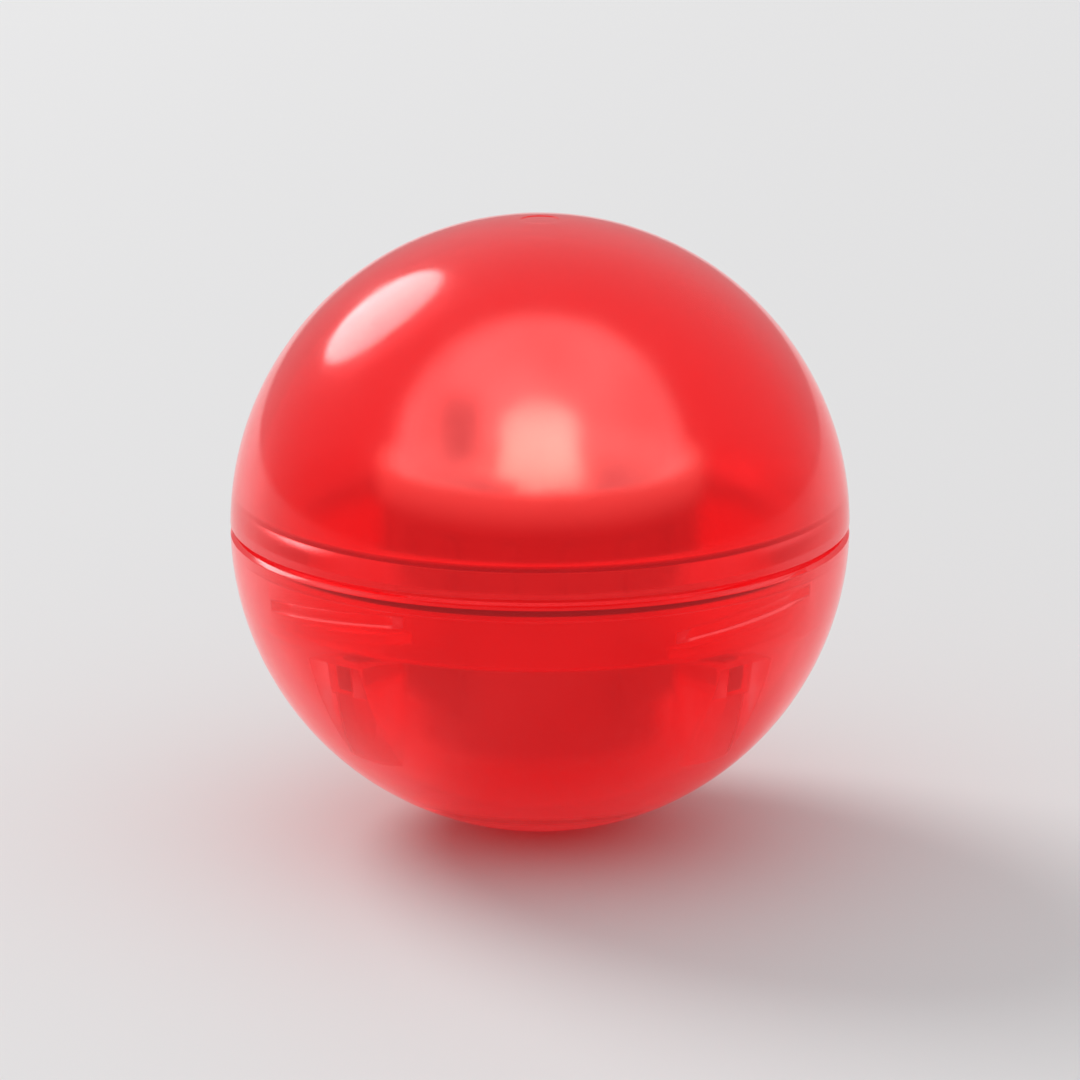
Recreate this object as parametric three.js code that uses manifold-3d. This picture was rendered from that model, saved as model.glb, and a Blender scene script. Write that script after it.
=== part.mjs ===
// A light-up ball for a cat's track toy. Sizes are in millimetres, +Z is up, and
// the origin is the middle of the ball. Two clear red shells close on a quarter-turn
// thread with a sealing ring between them. Inside, a battery tube on four arms holds
// three button cells, and a light head screws onto it: a tray with a circuit board,
// a lamp, a motion switch and a frosted dome.
import * as THREE from "three";
import { mergeVertices } from "three/addons/utils/BufferGeometryUtils.js";
import Module from "manifold-3d";

const wasm = await Module();
wasm.setup();

// The ball and its two shells
const ballRadius = 20;
const shellWall = 1.5;
const rimWall = 2.1; // wall of the lower shell round its threaded mouth
const seamGap = 0.2;
const seamBevel = 0.25;
const flangeThickness = 1.5;
const spigotWall = 1.4;
const cornerRound = 0.5;

// Fits between pieces
const seatGap = 0.05; // between flat faces that rest on each other
const looseGap = 0.3; // between pieces that drop or turn into each other
const holdGap = 0.4; // between the closed shell and the arms that it holds down

// The thread that joins the shells, and the one under the light head
const threadPitch = 2.4; // from one rib to the next, up the axis
const ribThickness = 0.85;
const ribSlope = 0.12;
const ribProud = 0.75; // how far the lower shell's ribs stand in from its mouth
const ribRoot = 0.2; // how deep a rib is rooted in its wall
const shellStarts = 4;
const shellRibArc = 36; // degrees
const headStarts = 3;
const headRibArc = 40; // degrees
const headRibProud = 0.7;
const crestOverlap = 0.45; // how far two ribs overlap across the joint

// The sealing ring in the seam
const sealRadius = 0.6; // of its round section
const sealRoom = 0.15;

// Button cells, each a can, a gasket and a cap
const cellCount = 3;
const cellRadius = 5.8;
const cellHeight = 5.4;
const cellBevel = 0.35;
const canLip = 0.6;
const capProud = 0.25; // how far the cap stands above the can
const capDepth = 1.55; // how deep it sits in the can
const gasketWall = 0.25;
const capBevel = 0.3;

// The battery tube and its arms
const cellPlay = 0.3; // between a cell and the tube
const tubeWall = 1.6;
const tubeFloor = 0.8;
const tubeFootClearance = 0.4; // between the tube's foot and the shell
const tubeFootBevel = 1.2;
const tubeLip = 0.35; // how far the tube stands above the top cell
const grooveDepth = 0.85;
const grooveWidth = 3.2;
const armCount = 4;
const armThickness = 1.3;
const armEndDepth = 2;
const armReach = 0.4; // how far short of the spigot's outside an arm ends
const armGusset = 4.7; // how much deeper an arm is at the tube than at its end

// The brackets in the lower shell that hold the arms, and its socket ring
const bracketLength = 2.7;
const bracketCheek = 1.2;
const bracketDepth = 8;
const bracketStep = 0.25; // how far a bracket's top lies under the arm's
const socketWall = 1.2;
const socketTop = 3.3; // how far the socket ring stands above the tube's foot

// The contacts
const contactThickness = 0.25;
const contactTab = 1.1;
const contactSpringWire = 0.2; // radius of the wire
const contactSpringTurns = 3;
const contactSpringTop = 3.9; // radius of its wide end
const contactSpringFoot = 1.3; // radius of its narrow end
const contactSpringRoom = 1.45; // from the top cell to the board

// The light head: tray, board and dome
const trayWall = 1.2;
const trayFlange = 0.8;
const trayLedge = 0.5; // how far the flange stands in over the tube's wall
const rimThickness = 0.8;
const rimHeight = 2.2;
const gripRibs = 16;
const gripProud = 0.4;
const gripWidth = 1;
const boardThickness = 1;
const boardOverSkirt = 0.7; // how far the board's edge passes the skirt's inside
const keyWidth = 1.2;
const keyDepth = 0.7;
const domeWall = 1;
const domeStraight = 1; // height of the upright wall under the round of the dome
const snapProud = 0.35;
const snapHeight = 0.5;
const snapRoom = 0.2;

// The lamp, a wide-angle one with a low lens
const lampRadius = 2.4;
const lampFlange = 0.35;
const lampFlangeHeight = 0.8;
const lampBody = 3.8;
const lampCrown = 1;
const lampWall = 0.5;
const legSpacing = 2.54;
const legSize = 0.5;
const legBelowBoard = 0.5;
const cupRadius = 0.95;
const cupHeight = 0.7;
const cupWall = 0.3;
const cupRoom = 0.3; // over the cup, under the top of the lens's hollow
const dieSize = 0.55;
const dieHeight = 0.3;

// The motion switch, a pin inside a fine coil that sways when the ball rolls
const switchRoom = 0.55; // between the lamp's flange and the switch's base
const switchBaseRadius = 1.7;
const switchBaseHeight = 0.8;
const bossWall = 0.3; // round the pin
const bossHeight = 0.7;
const pinRadius = 0.3;
const pinRoom = 0.1; // round the pin in its holes
const pinShort = 0.2; // how far the pin ends below the coil's top
const coilRadius = 1.1; // of the wire's centre line
const coilWire = 0.13; // radius of the wire
const coilTurns = 6;
const coilHeight = 4.6;
const coilRoom = 0.25; // under the coil's foot, so that it can sway

// The chip and the small parts, on a ring round the lamp at these angles
const chipRadius = 1.5;
const chipHeight = 1.3;
const chipAngle = -38;
const resistorSize = [3.2, 1.6, 0.6];
const lampResistorAngle = -80;
const timerResistorAngle = 60;
const capacitorSize = [2, 1.3, 1.1];
const capacitorAngle = 118;
const transistorSize = [2.9, 1.3, 1];
const transistorLeg = [0.45, 0.7, 0.3];
const transistorAngle = -121;

// Facets
const shellSteps = 48;
const shellRings = 10;
const cellSteps = 28;
const headSteps = 36;
const domeRings = 7;
const smallSteps = 16;
const pinSteps = 8;
const holeSteps = 12;
const ribSteps = 4;
const curlSteps = 8;
const wireSides = 5;
const sealSides = 8;
const mergeDistance = 1e-4;

const degrees = Math.PI / 180;

// A manifold solid of a closed three.js geometry.
function solid(geometry) {
  const source = geometry.index ? geometry.toNonIndexed() : geometry;
  const bare = new THREE.BufferGeometry();
  bare.setAttribute("position", source.getAttribute("position"));
  const merged = mergeVertices(bare, mergeDistance);
  const corners = merged.index.array;
  const kept = [];
  for (let i = 0; i < corners.length; i += 3) {
    const [a, b, c] = [corners[i], corners[i + 1], corners[i + 2]];
    if (a !== b && b !== c && c !== a) kept.push(a, b, c);
  }
  const mesh = new wasm.Mesh({
    numProp: 3,
    vertProperties: merged.attributes.position.array,
    triVerts: new Uint32Array(kept),
  });
  return new wasm.Manifold(mesh);
}

// The three.js geometry of a manifold solid.
function geometryOf(body) {
  const mesh = body.getMesh();
  const geometry = new THREE.BufferGeometry();
  const points = new Float32Array(mesh.vertProperties);
  geometry.setAttribute("position", new THREE.BufferAttribute(points, 3));
  geometry.setIndex(new THREE.BufferAttribute(new Uint32Array(mesh.triVerts), 1));
  geometry.computeVertexNormals();
  return geometry;
}

// A solid turned about Z from [radius, height] points that run up its outside.
function turned(points, steps) {
  const outline = points.map(([radius, height]) => new THREE.Vector2(radius, height));
  return solid(new THREE.LatheGeometry(outline, steps).rotateX(Math.PI / 2));
}

// A plain ring, or a disc where the inner radius is 0.
function ring(inner, outer, bottom, top, steps) {
  const outline = [
    [inner, bottom],
    [outer, bottom],
    [outer, top],
    [inner, top],
  ];
  if (inner > 0) outline.push([inner, bottom]);
  return turned(outline, steps);
}

// Points on an arc about a centre on the axis, from one elevation to another.
function arc(radius, centre, from, to, count) {
  return Array.from({ length: count + 1 }, (_, i) => {
    const angle = (from + ((to - from) * i) / count) * degrees;
    const out = Math.abs(Math.cos(angle)) < 1e-9 ? 0 : radius * Math.cos(angle);
    return [out, centre + radius * Math.sin(angle)];
  });
}

// A block between two corners, turned about Z afterwards.
function block(low, high, turn = 0) {
  const size = high.map((value, i) => value - low[i]);
  const middle = high.map((value, i) => (value + low[i]) / 2);
  const geometry = new THREE.BoxGeometry(...size).translate(...middle);
  return solid(geometry.rotateZ(turn * degrees));
}

// A closed skin over a row of sections that all have the same number of points.
function loft(sections) {
  const count = sections[0].length;
  const points = sections.flat();
  const faces = [];
  for (let s = 0; s + 1 < sections.length; s++) {
    for (let j = 0; j < count; j++) {
      const next = (j + 1) % count;
      const [a, b] = [s * count + j, s * count + next];
      const [c, d] = [b + count, a + count];
      faces.push(a, d, c, a, c, b);
    }
  }
  const last = (sections.length - 1) * count;
  for (let j = 1; j + 1 < count; j++) {
    faces.push(0, j, j + 1);
    faces.push(last, last + j + 1, last + j);
  }
  const geometry = new THREE.BufferGeometry().setFromPoints(points);
  geometry.setIndex(faces);
  return geometry;
}

// A thread rib with a sloped section that climbs round the axis.
function threadRib({ root, crest, bottom, sweep, lead, start }) {
  const outward = crest > root;
  const [inner, outer] = outward ? [root, crest] : [crest, root];
  const [innerSlope, outerSlope] = outward ? [0, ribSlope] : [ribSlope, 0];
  const sections = Array.from({ length: ribSteps + 1 }, (_, i) => {
    const turn = (sweep * i) / ribSteps;
    const angle = (start + turn) * degrees;
    const low = bottom + (lead * turn) / 360;
    const high = low + ribThickness;
    const corners = [
      [inner, low + innerSlope],
      [outer, low + outerSlope],
      [outer, high - outerSlope],
      [inner, high - innerSlope],
    ];
    return corners.map(
      ([radius, height]) =>
        new THREE.Vector3(radius * Math.cos(angle), radius * Math.sin(angle), height),
    );
  });
  return solid(loft(sections));
}

// A set of ribs, one for each start of the thread, joined to a body.
function withRibs(body, starts, rib) {
  let joined = body;
  for (let i = 0; i < starts; i++) {
    joined = joined.add(threadRib({ ...rib, start: rib.start + (360 * i) / starts }));
  }
  return joined;
}

// A coil of wire whose radius runs from one value to another as it climbs. Both
// ends run straight up and down for one wire diameter.
function coil(name, wire, turns, foot, top, bottom, height) {
  const steps = turns * curlSteps;
  const stub = 2 * wire;
  const climb = height - 2 * stub;
  const line = Array.from({ length: steps + 1 }, (_, i) => {
    const share = i / steps;
    const angle = share * turns * 2 * Math.PI;
    const radius = foot + (top - foot) * share;
    return new THREE.Vector3(
      radius * Math.cos(angle),
      radius * Math.sin(angle),
      bottom + stub + climb * share,
    );
  });
  let least = Infinity;
  for (let i = 0; i < line.length; i++) {
    for (let j = i + curlSteps / 2; j < line.length; j++) {
      least = Math.min(least, line[i].distanceTo(line[j]) - 2 * wire);
    }
  }
  console.log(`${name}: the least gap between its turns is ${least.toFixed(2)} mm`);
  const path = [
    line[0].clone().setZ(bottom),
    ...line,
    line[steps].clone().setZ(bottom + height),
  ];
  const sections = path.map((point, i) => {
    const before = path[Math.max(i - 1, 0)];
    const after = path[Math.min(i + 1, path.length - 1)];
    const along = after.clone().sub(before).normalize();
    const out = new THREE.Vector3(point.x, point.y, 0);
    out.addScaledVector(along, -out.dot(along)).normalize();
    const side = new THREE.Vector3().crossVectors(out, along);
    return Array.from({ length: wireSides }, (_, k) => {
      const angle = (k / wireSides) * 2 * Math.PI;
      return point
        .clone()
        .addScaledVector(out, wire * Math.cos(angle))
        .addScaledVector(side, wire * Math.sin(angle));
    });
  });
  return loft(sections);
}

// Heights and radii that follow from the driving sizes
const innerRadius = ballRadius - shellWall;
const seamFace = seamGap / 2;
const mouthRadius = ballRadius - rimWall;
const lowerRibCrest = mouthRadius - ribProud;
const lugCrest = lowerRibCrest + crestOverlap;
const spigotOuter = lowerRibCrest - looseGap - seatGap;
const spigotInner = spigotOuter - spigotWall;
const flangeTop = seamFace + flangeThickness;
const pocketWidth = 2 * (sealRadius + sealRoom);
const pocketRadius = spigotOuter + pocketWidth;
const pocketFloor = seamFace - pocketWidth;
const threadGap = threadPitch / 2 - ribThickness;
const shellLead = shellStarts * threadPitch;
const shellRibRise = (shellLead * shellRibArc) / 360;
const lowerRibBottom = pocketFloor - sealRoom - ribThickness - shellRibRise;
const lugBottom = lowerRibBottom - threadGap - ribThickness;
const spigotBottom = lugBottom - looseGap;
const shellRibStart = 45 - shellRibArc / 2;

const canHeight = cellHeight - capProud;
const canFloor = canHeight - capDepth;
const tubeInner = cellRadius + cellPlay;
const tubeOuter = tubeInner + tubeWall;
const tubeFootRadius = tubeOuter - tubeFootBevel;
const tubeFoot = -Math.sqrt((innerRadius - tubeFootClearance) ** 2 - tubeFootRadius ** 2);
const tubeFloorTop = tubeFoot + tubeFloor;
const contactBottom = tubeFloorTop + seatGap;
const cellsBottom = contactBottom + contactThickness + seatGap;
const cellStep = cellHeight + seatGap;
const cellsTop = cellsBottom + cellCount * cellStep - seatGap;
const tubeTop = cellsTop + tubeLip;
const armTop = spigotBottom - holdGap;
const armEnd = spigotOuter - armReach;
const armBottom = armTop - armEndDepth;
const slotFloor = armBottom - looseGap;
const bracketInner = armEnd - bracketLength;

const boardBottom = cellsTop + contactSpringRoom;
const boardTop = boardBottom + boardThickness;
const headLead = headStarts * threadPitch;
const headRibRise = (headLead * headRibArc) / 360;
const tubeRibCrest = tubeOuter + headRibProud;
const trayRibCrest = tubeRibCrest - crestOverlap;
const skirtInner = tubeRibCrest + looseGap;
const skirtOuter = skirtInner + trayWall;
const tubeRibBottom = tubeTop - looseGap - ribThickness - headRibRise;
const trayRibBottom = tubeRibBottom - threadGap - ribThickness;
const skirtBottom = trayRibBottom - looseGap;
const boardRadius = skirtInner + boardOverSkirt;
const rimInner = boardRadius + looseGap;
const rimOuter = rimInner + rimThickness;
const flangeBottom = boardBottom - seatGap - trayFlange;
const flangeHole = tubeOuter - trayLedge;
const domeBottom = boardTop + seatGap;
const domeCentre = domeBottom + domeStraight;
const domeInner = boardRadius - domeWall;
const headRibStart = 90 - headRibArc / 2;

const cupBottom = lampBody - 2 * lampWall - cupRoom - cupHeight;
const switchX = -(lampRadius + lampFlange + switchRoom + switchBaseRadius);
const coilBottom = switchBaseHeight + coilRoom;
const pinTop = coilBottom + coilHeight - pinShort;
const partRing = (lampRadius + lampFlange + domeInner) / 2;

// The upper shell: half a ball with a flange, and a spigot that carries the lugs.
function upperShell() {
  const innerStart = Math.asin((flangeTop + cornerRound) / innerRadius) / degrees;
  const outerStart = Math.asin((seamFace + seamBevel) / ballRadius) / degrees;
  const outline = [
    ...arc(innerRadius, 0, 90, innerStart, shellRings),
    [Math.sqrt(innerRadius ** 2 - flangeTop ** 2) - cornerRound, flangeTop],
    [spigotInner + cornerRound, flangeTop],
    [spigotInner, flangeTop - cornerRound],
    [spigotInner, spigotBottom],
    [spigotOuter - ribSlope, spigotBottom],
    [spigotOuter, spigotBottom + ribSlope],
    [spigotOuter, seamFace],
    [ballRadius - seamBevel, seamFace],
    ...arc(ballRadius, 0, outerStart, 90, shellRings),
  ];
  return withRibs(turned(outline, shellSteps), shellStarts, {
    root: spigotOuter - ribRoot,
    crest: lugCrest,
    bottom: lugBottom,
    sweep: shellRibArc,
    lead: shellLead,
    start: shellRibStart,
  });
}

// The lower shell: half a ball with a threaded mouth, a socket ring at its foot
// and four slotted brackets.
function lowerShell() {
  const outerEnd = -Math.asin((seamFace + seamBevel) / ballRadius) / degrees;
  const innerEnd = -Math.acos(mouthRadius / innerRadius) / degrees;
  const outline = [
    ...arc(ballRadius, 0, -90, outerEnd, shellRings),
    [ballRadius - seamBevel, -seamFace],
    [pocketRadius, -seamFace],
    [pocketRadius, pocketFloor],
    [mouthRadius, pocketFloor],
    ...arc(innerRadius, 0, innerEnd, -90, shellRings),
  ];
  const plain = turned(outline, shellSteps);
  const wallMiddle = ballRadius - shellWall / 2;
  const core = turned(arc(wallMiddle, 0, -90, 90, shellRings), shellSteps);
  const socketInner = tubeOuter + looseGap;
  const socket = ring(
    socketInner,
    socketInner + socketWall,
    -ballRadius,
    tubeFoot + socketTop,
    headSteps,
  );
  let inside = socket;
  const halfSlot = armThickness / 2 + looseGap;
  const halfBracket = halfSlot + bracketCheek;
  const bracketTop = armTop - bracketStep;
  for (let i = 0; i < armCount; i++) {
    const turn = 45 + (360 * i) / armCount;
    const bracket = block(
      [bracketInner, -halfBracket, bracketTop - bracketDepth],
      [ballRadius, halfBracket, bracketTop],
      turn,
    );
    const slot = block(
      [bracketInner - 1, -halfSlot, slotFloor],
      [armEnd + looseGap, halfSlot, bracketTop + 1],
      turn,
    );
    inside = inside.add(bracket.subtract(slot));
  }
  return withRibs(plain.add(inside.intersect(core)), shellStarts, {
    root: mouthRadius + ribRoot,
    crest: lowerRibCrest,
    bottom: lowerRibBottom,
    sweep: shellRibArc,
    lead: shellLead,
    start: shellRibStart,
  });
}

// The rubber ring that fills the pocket round the spigot.
function sealRing() {
  const middle = (spigotOuter + pocketRadius) / 2;
  return new THREE.TorusGeometry(middle, sealRadius, sealSides, shellSteps);
}

// The tube for the cells, with ribs for the light head and arms for the brackets.
function batteryTube() {
  const outline = [
    [0, tubeFoot],
    [tubeFootRadius, tubeFoot],
    [tubeOuter, tubeFoot + tubeFootBevel],
    [tubeOuter, tubeTop],
    [tubeInner, tubeTop],
    [tubeInner, tubeFloorTop],
    [0, tubeFloorTop],
  ];
  const groove = block(
    [-grooveWidth / 2, 0, tubeFloorTop],
    [grooveWidth / 2, tubeInner + grooveDepth, tubeTop + 1],
  );
  let tube = turned(outline, headSteps).subtract(groove);
  const root = tubeOuter - ribRoot;
  for (let i = 0; i < armCount; i++) {
    const plate = new THREE.Shape([
      new THREE.Vector2(root, armTop),
      new THREE.Vector2(root, armBottom - armGusset),
      new THREE.Vector2(bracketInner - looseGap, armBottom),
      new THREE.Vector2(armEnd, armBottom),
      new THREE.Vector2(armEnd, armTop),
    ]);
    const arm = new THREE.ExtrudeGeometry(plate, {
      depth: armThickness,
      bevelEnabled: false,
    });
    arm.translate(0, 0, -armThickness / 2).rotateX(Math.PI / 2);
    arm.rotateZ((45 + (360 * i) / armCount) * degrees);
    tube = tube.add(solid(arm));
  }
  return withRibs(tube, headStarts, {
    root,
    crest: tubeRibCrest,
    bottom: tubeRibBottom,
    sweep: headRibArc,
    lead: headLead,
    start: headRibStart,
  });
}

// The plate under the cells, its riser in the tube's groove and its tab under the board.
function positiveContact() {
  const riserOuter = tubeInner + grooveDepth - (grooveDepth - contactThickness) / 4;
  const riserInner = riserOuter - contactThickness;
  const half = grooveWidth / 2 - looseGap;
  const tabTop = boardBottom - seatGap;
  const tabBottom = tabTop - contactThickness;
  const plateTop = contactBottom + contactThickness;
  const plate = ring(0, cellRadius - cellBevel, contactBottom, plateTop, cellSteps);
  const foot = block([-half, 0, contactBottom], [half, riserOuter, plateTop]);
  const riser = block([-half, riserInner, contactBottom], [half, riserOuter, tabTop]);
  const tab = block([-half, riserInner - contactTab, tabBottom], [half, riserOuter, tabTop]);
  return plate.add(foot).add(riser).add(tab);
}

// The can of a button cell, with its floor at height 0.
function cellCan() {
  const lipInner = cellRadius - canLip;
  return turned(
    [
      [0, 0],
      [cellRadius - cellBevel, 0],
      [cellRadius, cellBevel],
      [cellRadius, canHeight - cellBevel],
      [cellRadius - cellBevel, canHeight],
      [lipInner, canHeight],
      [lipInner, canFloor],
      [0, canFloor],
    ],
    cellSteps,
  );
}

// The nylon ring between a cell's can and its cap.
function cellGasket() {
  const outer = cellRadius - canLip - seatGap;
  return ring(outer - gasketWall, outer, canFloor + seatGap, canHeight, cellSteps);
}

// The cap of a button cell.
function cellCap() {
  const radius = cellRadius - canLip - gasketWall - 2 * seatGap;
  return turned(
    [
      [0, canFloor + seatGap],
      [radius, canFloor + seatGap],
      [radius, cellHeight - capBevel],
      [radius - capBevel, cellHeight],
      [0, cellHeight],
    ],
    cellSteps,
  );
}

// The tray of the light head: a ledge for the board, a rim for the dome, and a
// ribbed skirt that screws onto the tube.
function boardTray() {
  const rimTop = domeBottom + rimHeight - trayFlange - seatGap;
  const snapMiddle = domeBottom + domeStraight / 2;
  const grooveHalf = snapHeight / 2 + snapRoom;
  const grooveOuter = rimInner + snapProud - seatGap;
  const outline = [
    [skirtInner, skirtBottom],
    [skirtOuter, skirtBottom],
    [skirtOuter, flangeBottom],
    [rimOuter, flangeBottom + rimOuter - skirtOuter],
    [rimOuter, rimTop],
    [rimInner, rimTop],
    [rimInner, snapMiddle + grooveHalf],
    [grooveOuter, snapMiddle],
    [rimInner, snapMiddle - grooveHalf],
    [rimInner, flangeBottom + trayFlange],
    [flangeHole, flangeBottom + trayFlange],
    [flangeHole, flangeBottom],
    [skirtInner, flangeBottom],
    [skirtInner, skirtBottom],
  ];
  let tray = turned(outline, headSteps);
  const gripBottom = skirtBottom + looseGap;
  for (let i = 0; i < gripRibs; i++) {
    const grip = block(
      [skirtOuter - ribRoot, -gripWidth / 2, gripBottom],
      [skirtOuter + gripProud, gripWidth / 2, flangeBottom],
      (360 * (i + 0.5)) / gripRibs,
    );
    tray = tray.add(grip);
  }
  for (const turn of [90, 270]) {
    const key = block(
      [boardRadius - keyDepth + looseGap, -keyWidth / 2, flangeBottom],
      [rimInner + ribRoot, keyWidth / 2, boardTop - seatGap],
      turn,
    );
    tray = tray.add(key);
  }
  return withRibs(tray, headStarts, {
    root: skirtInner + ribRoot,
    crest: trayRibCrest,
    bottom: trayRibBottom,
    sweep: headRibArc,
    lead: headLead,
    start: headRibStart,
  });
}

// The frosted dome over the lamp, with a bead that snaps into the tray's rim.
function diffuserDome() {
  const snapMiddle = domeBottom + domeStraight / 2;
  const beadHalf = snapHeight / 2;
  return turned(
    [
      ...arc(domeInner, domeCentre, 90, 0, domeRings),
      [domeInner, domeBottom],
      [boardRadius, domeBottom],
      [boardRadius, snapMiddle - beadHalf],
      [boardRadius + snapProud, snapMiddle],
      [boardRadius, snapMiddle + beadHalf],
      ...arc(boardRadius, domeCentre, 0, 90, domeRings),
    ],
    headSteps,
  );
}

// The circuit board, with notches for the tray's keys and holes for the legs.
function circuitBoard() {
  let board = ring(0, boardRadius, 0, boardThickness, headSteps);
  for (const turn of [90, 270]) {
    const notch = block(
      [boardRadius - keyDepth, -keyWidth / 2 - looseGap, -1],
      [boardRadius + 1, keyWidth / 2 + looseGap, boardThickness + 1],
      turn,
    );
    board = board.subtract(notch);
  }
  const hole = (x, radius) => {
    const drill = new THREE.CylinderGeometry(radius, radius, 4 * boardThickness, holeSteps);
    return solid(drill.rotateX(Math.PI / 2).translate(x, 0, 0));
  };
  const legHole = legSize / Math.SQRT2 + pinRoom;
  return board
    .subtract(hole(-legSpacing / 2, legHole))
    .subtract(hole(legSpacing / 2, legHole))
    .subtract(hole(switchX, pinRadius + pinRoom));
}

// The lamp's lens, open underneath where the two metal legs stand in it.
function lampLens() {
  const hollow = lampRadius - lampWall;
  const bodyTop = lampBody;
  const crownTop = bodyTop + lampCrown;
  const bend = (lampRadius ** 2 + lampCrown ** 2) / (2 * lampCrown);
  const spread = Math.asin(lampRadius / bend) / degrees;
  return turned(
    [
      [0, bodyTop - lampWall],
      [hollow - lampWall, bodyTop - lampWall],
      [hollow, bodyTop - 2 * lampWall],
      [hollow, 0],
      [lampRadius + lampFlange, 0],
      [lampRadius + lampFlange, lampFlangeHeight],
      [lampRadius, lampFlangeHeight],
      ...arc(bend, crownTop - bend, 90 - spread, 90, 4),
    ],
    smallSteps,
  );
}

// The leg with the reflector cup that carries the lamp's die.
function lampCathode() {
  const half = legSize / 2;
  const outside = -legSpacing / 2 - half;
  const bottom = -boardThickness - legBelowBoard;
  const leg = block([outside, -half, bottom], [outside + legSize, half, cupBottom]);
  const post = block([outside, -half, cupBottom / 2], [cupWall, half, cupBottom + seatGap]);
  const cup = turned(
    [
      [0, cupBottom],
      [cupRadius - cupWall, cupBottom],
      [cupRadius, cupBottom + cupHeight],
      [cupRadius - cupWall / 2, cupBottom + cupHeight],
      [dieSize, cupBottom + cupWall],
      [0, cupBottom + cupWall],
    ],
    smallSteps,
  );
  return leg.add(post).add(cup);
}

// The plain leg beside it.
function lampAnode() {
  const half = legSize / 2;
  const inside = legSpacing / 2 - half;
  const bottom = -boardThickness - legBelowBoard;
  const top = cupBottom + cupHeight / 2;
  const leg = block([inside, -half, bottom], [inside + legSize, half, cupBottom / 2]);
  const post = block(
    [inside + half / 2, -half, cupBottom / 2 - seatGap],
    [inside + legSize, half, top],
  );
  return leg.add(post);
}

// The switch's base, a disc with a boss round the pin.
function switchBase() {
  const hole = pinRadius + pinRoom;
  const boss = hole + bossWall;
  return turned(
    [
      [hole, 0],
      [switchBaseRadius, 0],
      [switchBaseRadius, switchBaseHeight],
      [boss, switchBaseHeight],
      [boss, switchBaseHeight + bossHeight],
      [hole, switchBaseHeight + bossHeight],
      [hole, 0],
    ],
    smallSteps,
  );
}

// The chip under its drop of black resin.
function chipDrop() {
  const bend = (chipRadius ** 2 + chipHeight ** 2) / (2 * chipHeight);
  const spread = Math.asin(chipRadius / bend) / degrees;
  return turned(
    [[0, 0], ...arc(bend, chipHeight - bend, 90 - spread, 90, 4)],
    smallSteps,
  );
}

// A small block part that lies on the board, with its underside at height 0.
function boardPart([length, width, height]) {
  return block([-length / 2, -width / 2, 0], [length / 2, width / 2, height]);
}

// The transistor: a body with two legs on one side and one on the other.
function transistor() {
  const [legWidth, legReach, legHeight] = transistorLeg;
  const [length, width] = transistorSize;
  let body = boardPart(transistorSize);
  const legPlaces = [
    [-length / 3, -1],
    [length / 3, -1],
    [0, 1],
  ];
  for (const [x, side] of legPlaces) {
    const ends = [0, side * (width / 2 + legReach)];
    const leg = block(
      [x - legWidth / 2, Math.min(...ends), 0],
      [x + legWidth / 2, Math.max(...ends), legHeight],
    );
    body = body.add(leg);
  }
  return body;
}

// Finishes
const finish = (color, roughness, metalness = 0, opacity = 1) =>
  new THREE.MeshStandardMaterial({
    color,
    roughness,
    metalness,
    opacity,
    transparent: opacity < 1,
  });
const finishes = {
  redShell: finish(0xee1c24, 0.12, 0, 0.55),
  whitePlastic: finish(0xf1eee6, 0.45),
  frosted: finish(0xf6e9e6, 0.55, 0, 0.6),
  blackRubber: finish(0x3a0c10, 0.8),
  board: finish(0x1f6b3a, 0.5),
  lens: finish(0xffe3dc, 0.1, 0, 0.5),
  glow: finish(0xff6a5a, 0.4),
  tin: finish(0xc9ccd0, 0.3, 1),
  nickel: finish(0xd9d6cf, 0.25, 1),
  nylon: finish(0x2d3a55, 0.6),
  resin: finish(0x111214, 0.35),
  ceramic: finish(0xb09a78, 0.6),
};

// A named mesh of a solid or a ready geometry.
function piece(name, shape, material) {
  const geometry = shape.isBufferGeometry ? shape : geometryOf(shape);
  const mesh = new THREE.Mesh(geometry, finishes[material].clone());
  mesh.name = name;
  return mesh;
}

// A group at a height, and at a distance from the axis in one direction.
function groupAt(height, distance = 0, angle = 0) {
  const group = new THREE.Group();
  group.position.set(
    distance * Math.cos(angle * degrees),
    distance * Math.sin(angle * degrees),
    height,
  );
  group.rotation.z = (angle + 90) * degrees;
  return group;
}

const ball = new THREE.Group();

// The shells and the ring between them
ball.add(piece("upper_shell", upperShell(), "redShell"));
ball.add(piece("lower_shell", lowerShell(), "redShell"));
const seal = piece("seal_ring", sealRing(), "blackRubber");
seal.position.z = (seamFace + pocketFloor) / 2;
ball.add(seal);

// The battery tube with its cells and contacts
ball.add(piece("battery_tube", batteryTube(), "whitePlastic"));
ball.add(piece("positive_contact", positiveContact(), "nickel"));
["lower", "middle", "upper"].slice(0, cellCount).forEach((place, i) => {
  const cell = new THREE.Group();
  cell.position.z = cellsBottom + i * cellStep;
  cell.add(piece(`${place}_cell_can`, cellCan(), "nickel"));
  cell.add(piece(`${place}_cell_gasket`, cellGasket(), "nylon"));
  cell.add(piece(`${place}_cell_cap`, cellCap(), "nickel"));
  ball.add(cell);
});
const negativeContact = coil(
  "negative_contact_spring",
  contactSpringWire,
  contactSpringTurns,
  contactSpringFoot,
  contactSpringTop,
  cellsTop + seatGap,
  contactSpringRoom - 2 * seatGap,
);
ball.add(piece("negative_contact_spring", negativeContact, "nickel"));

// The light head
ball.add(piece("board_tray", boardTray(), "whitePlastic"));
ball.add(piece("diffuser_dome", diffuserDome(), "frosted"));
const board = piece("circuit_board", circuitBoard(), "board");
board.position.z = boardBottom;
ball.add(board);

const onBoard = new THREE.Group();
onBoard.position.z = boardTop + seatGap;
ball.add(onBoard);

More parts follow.
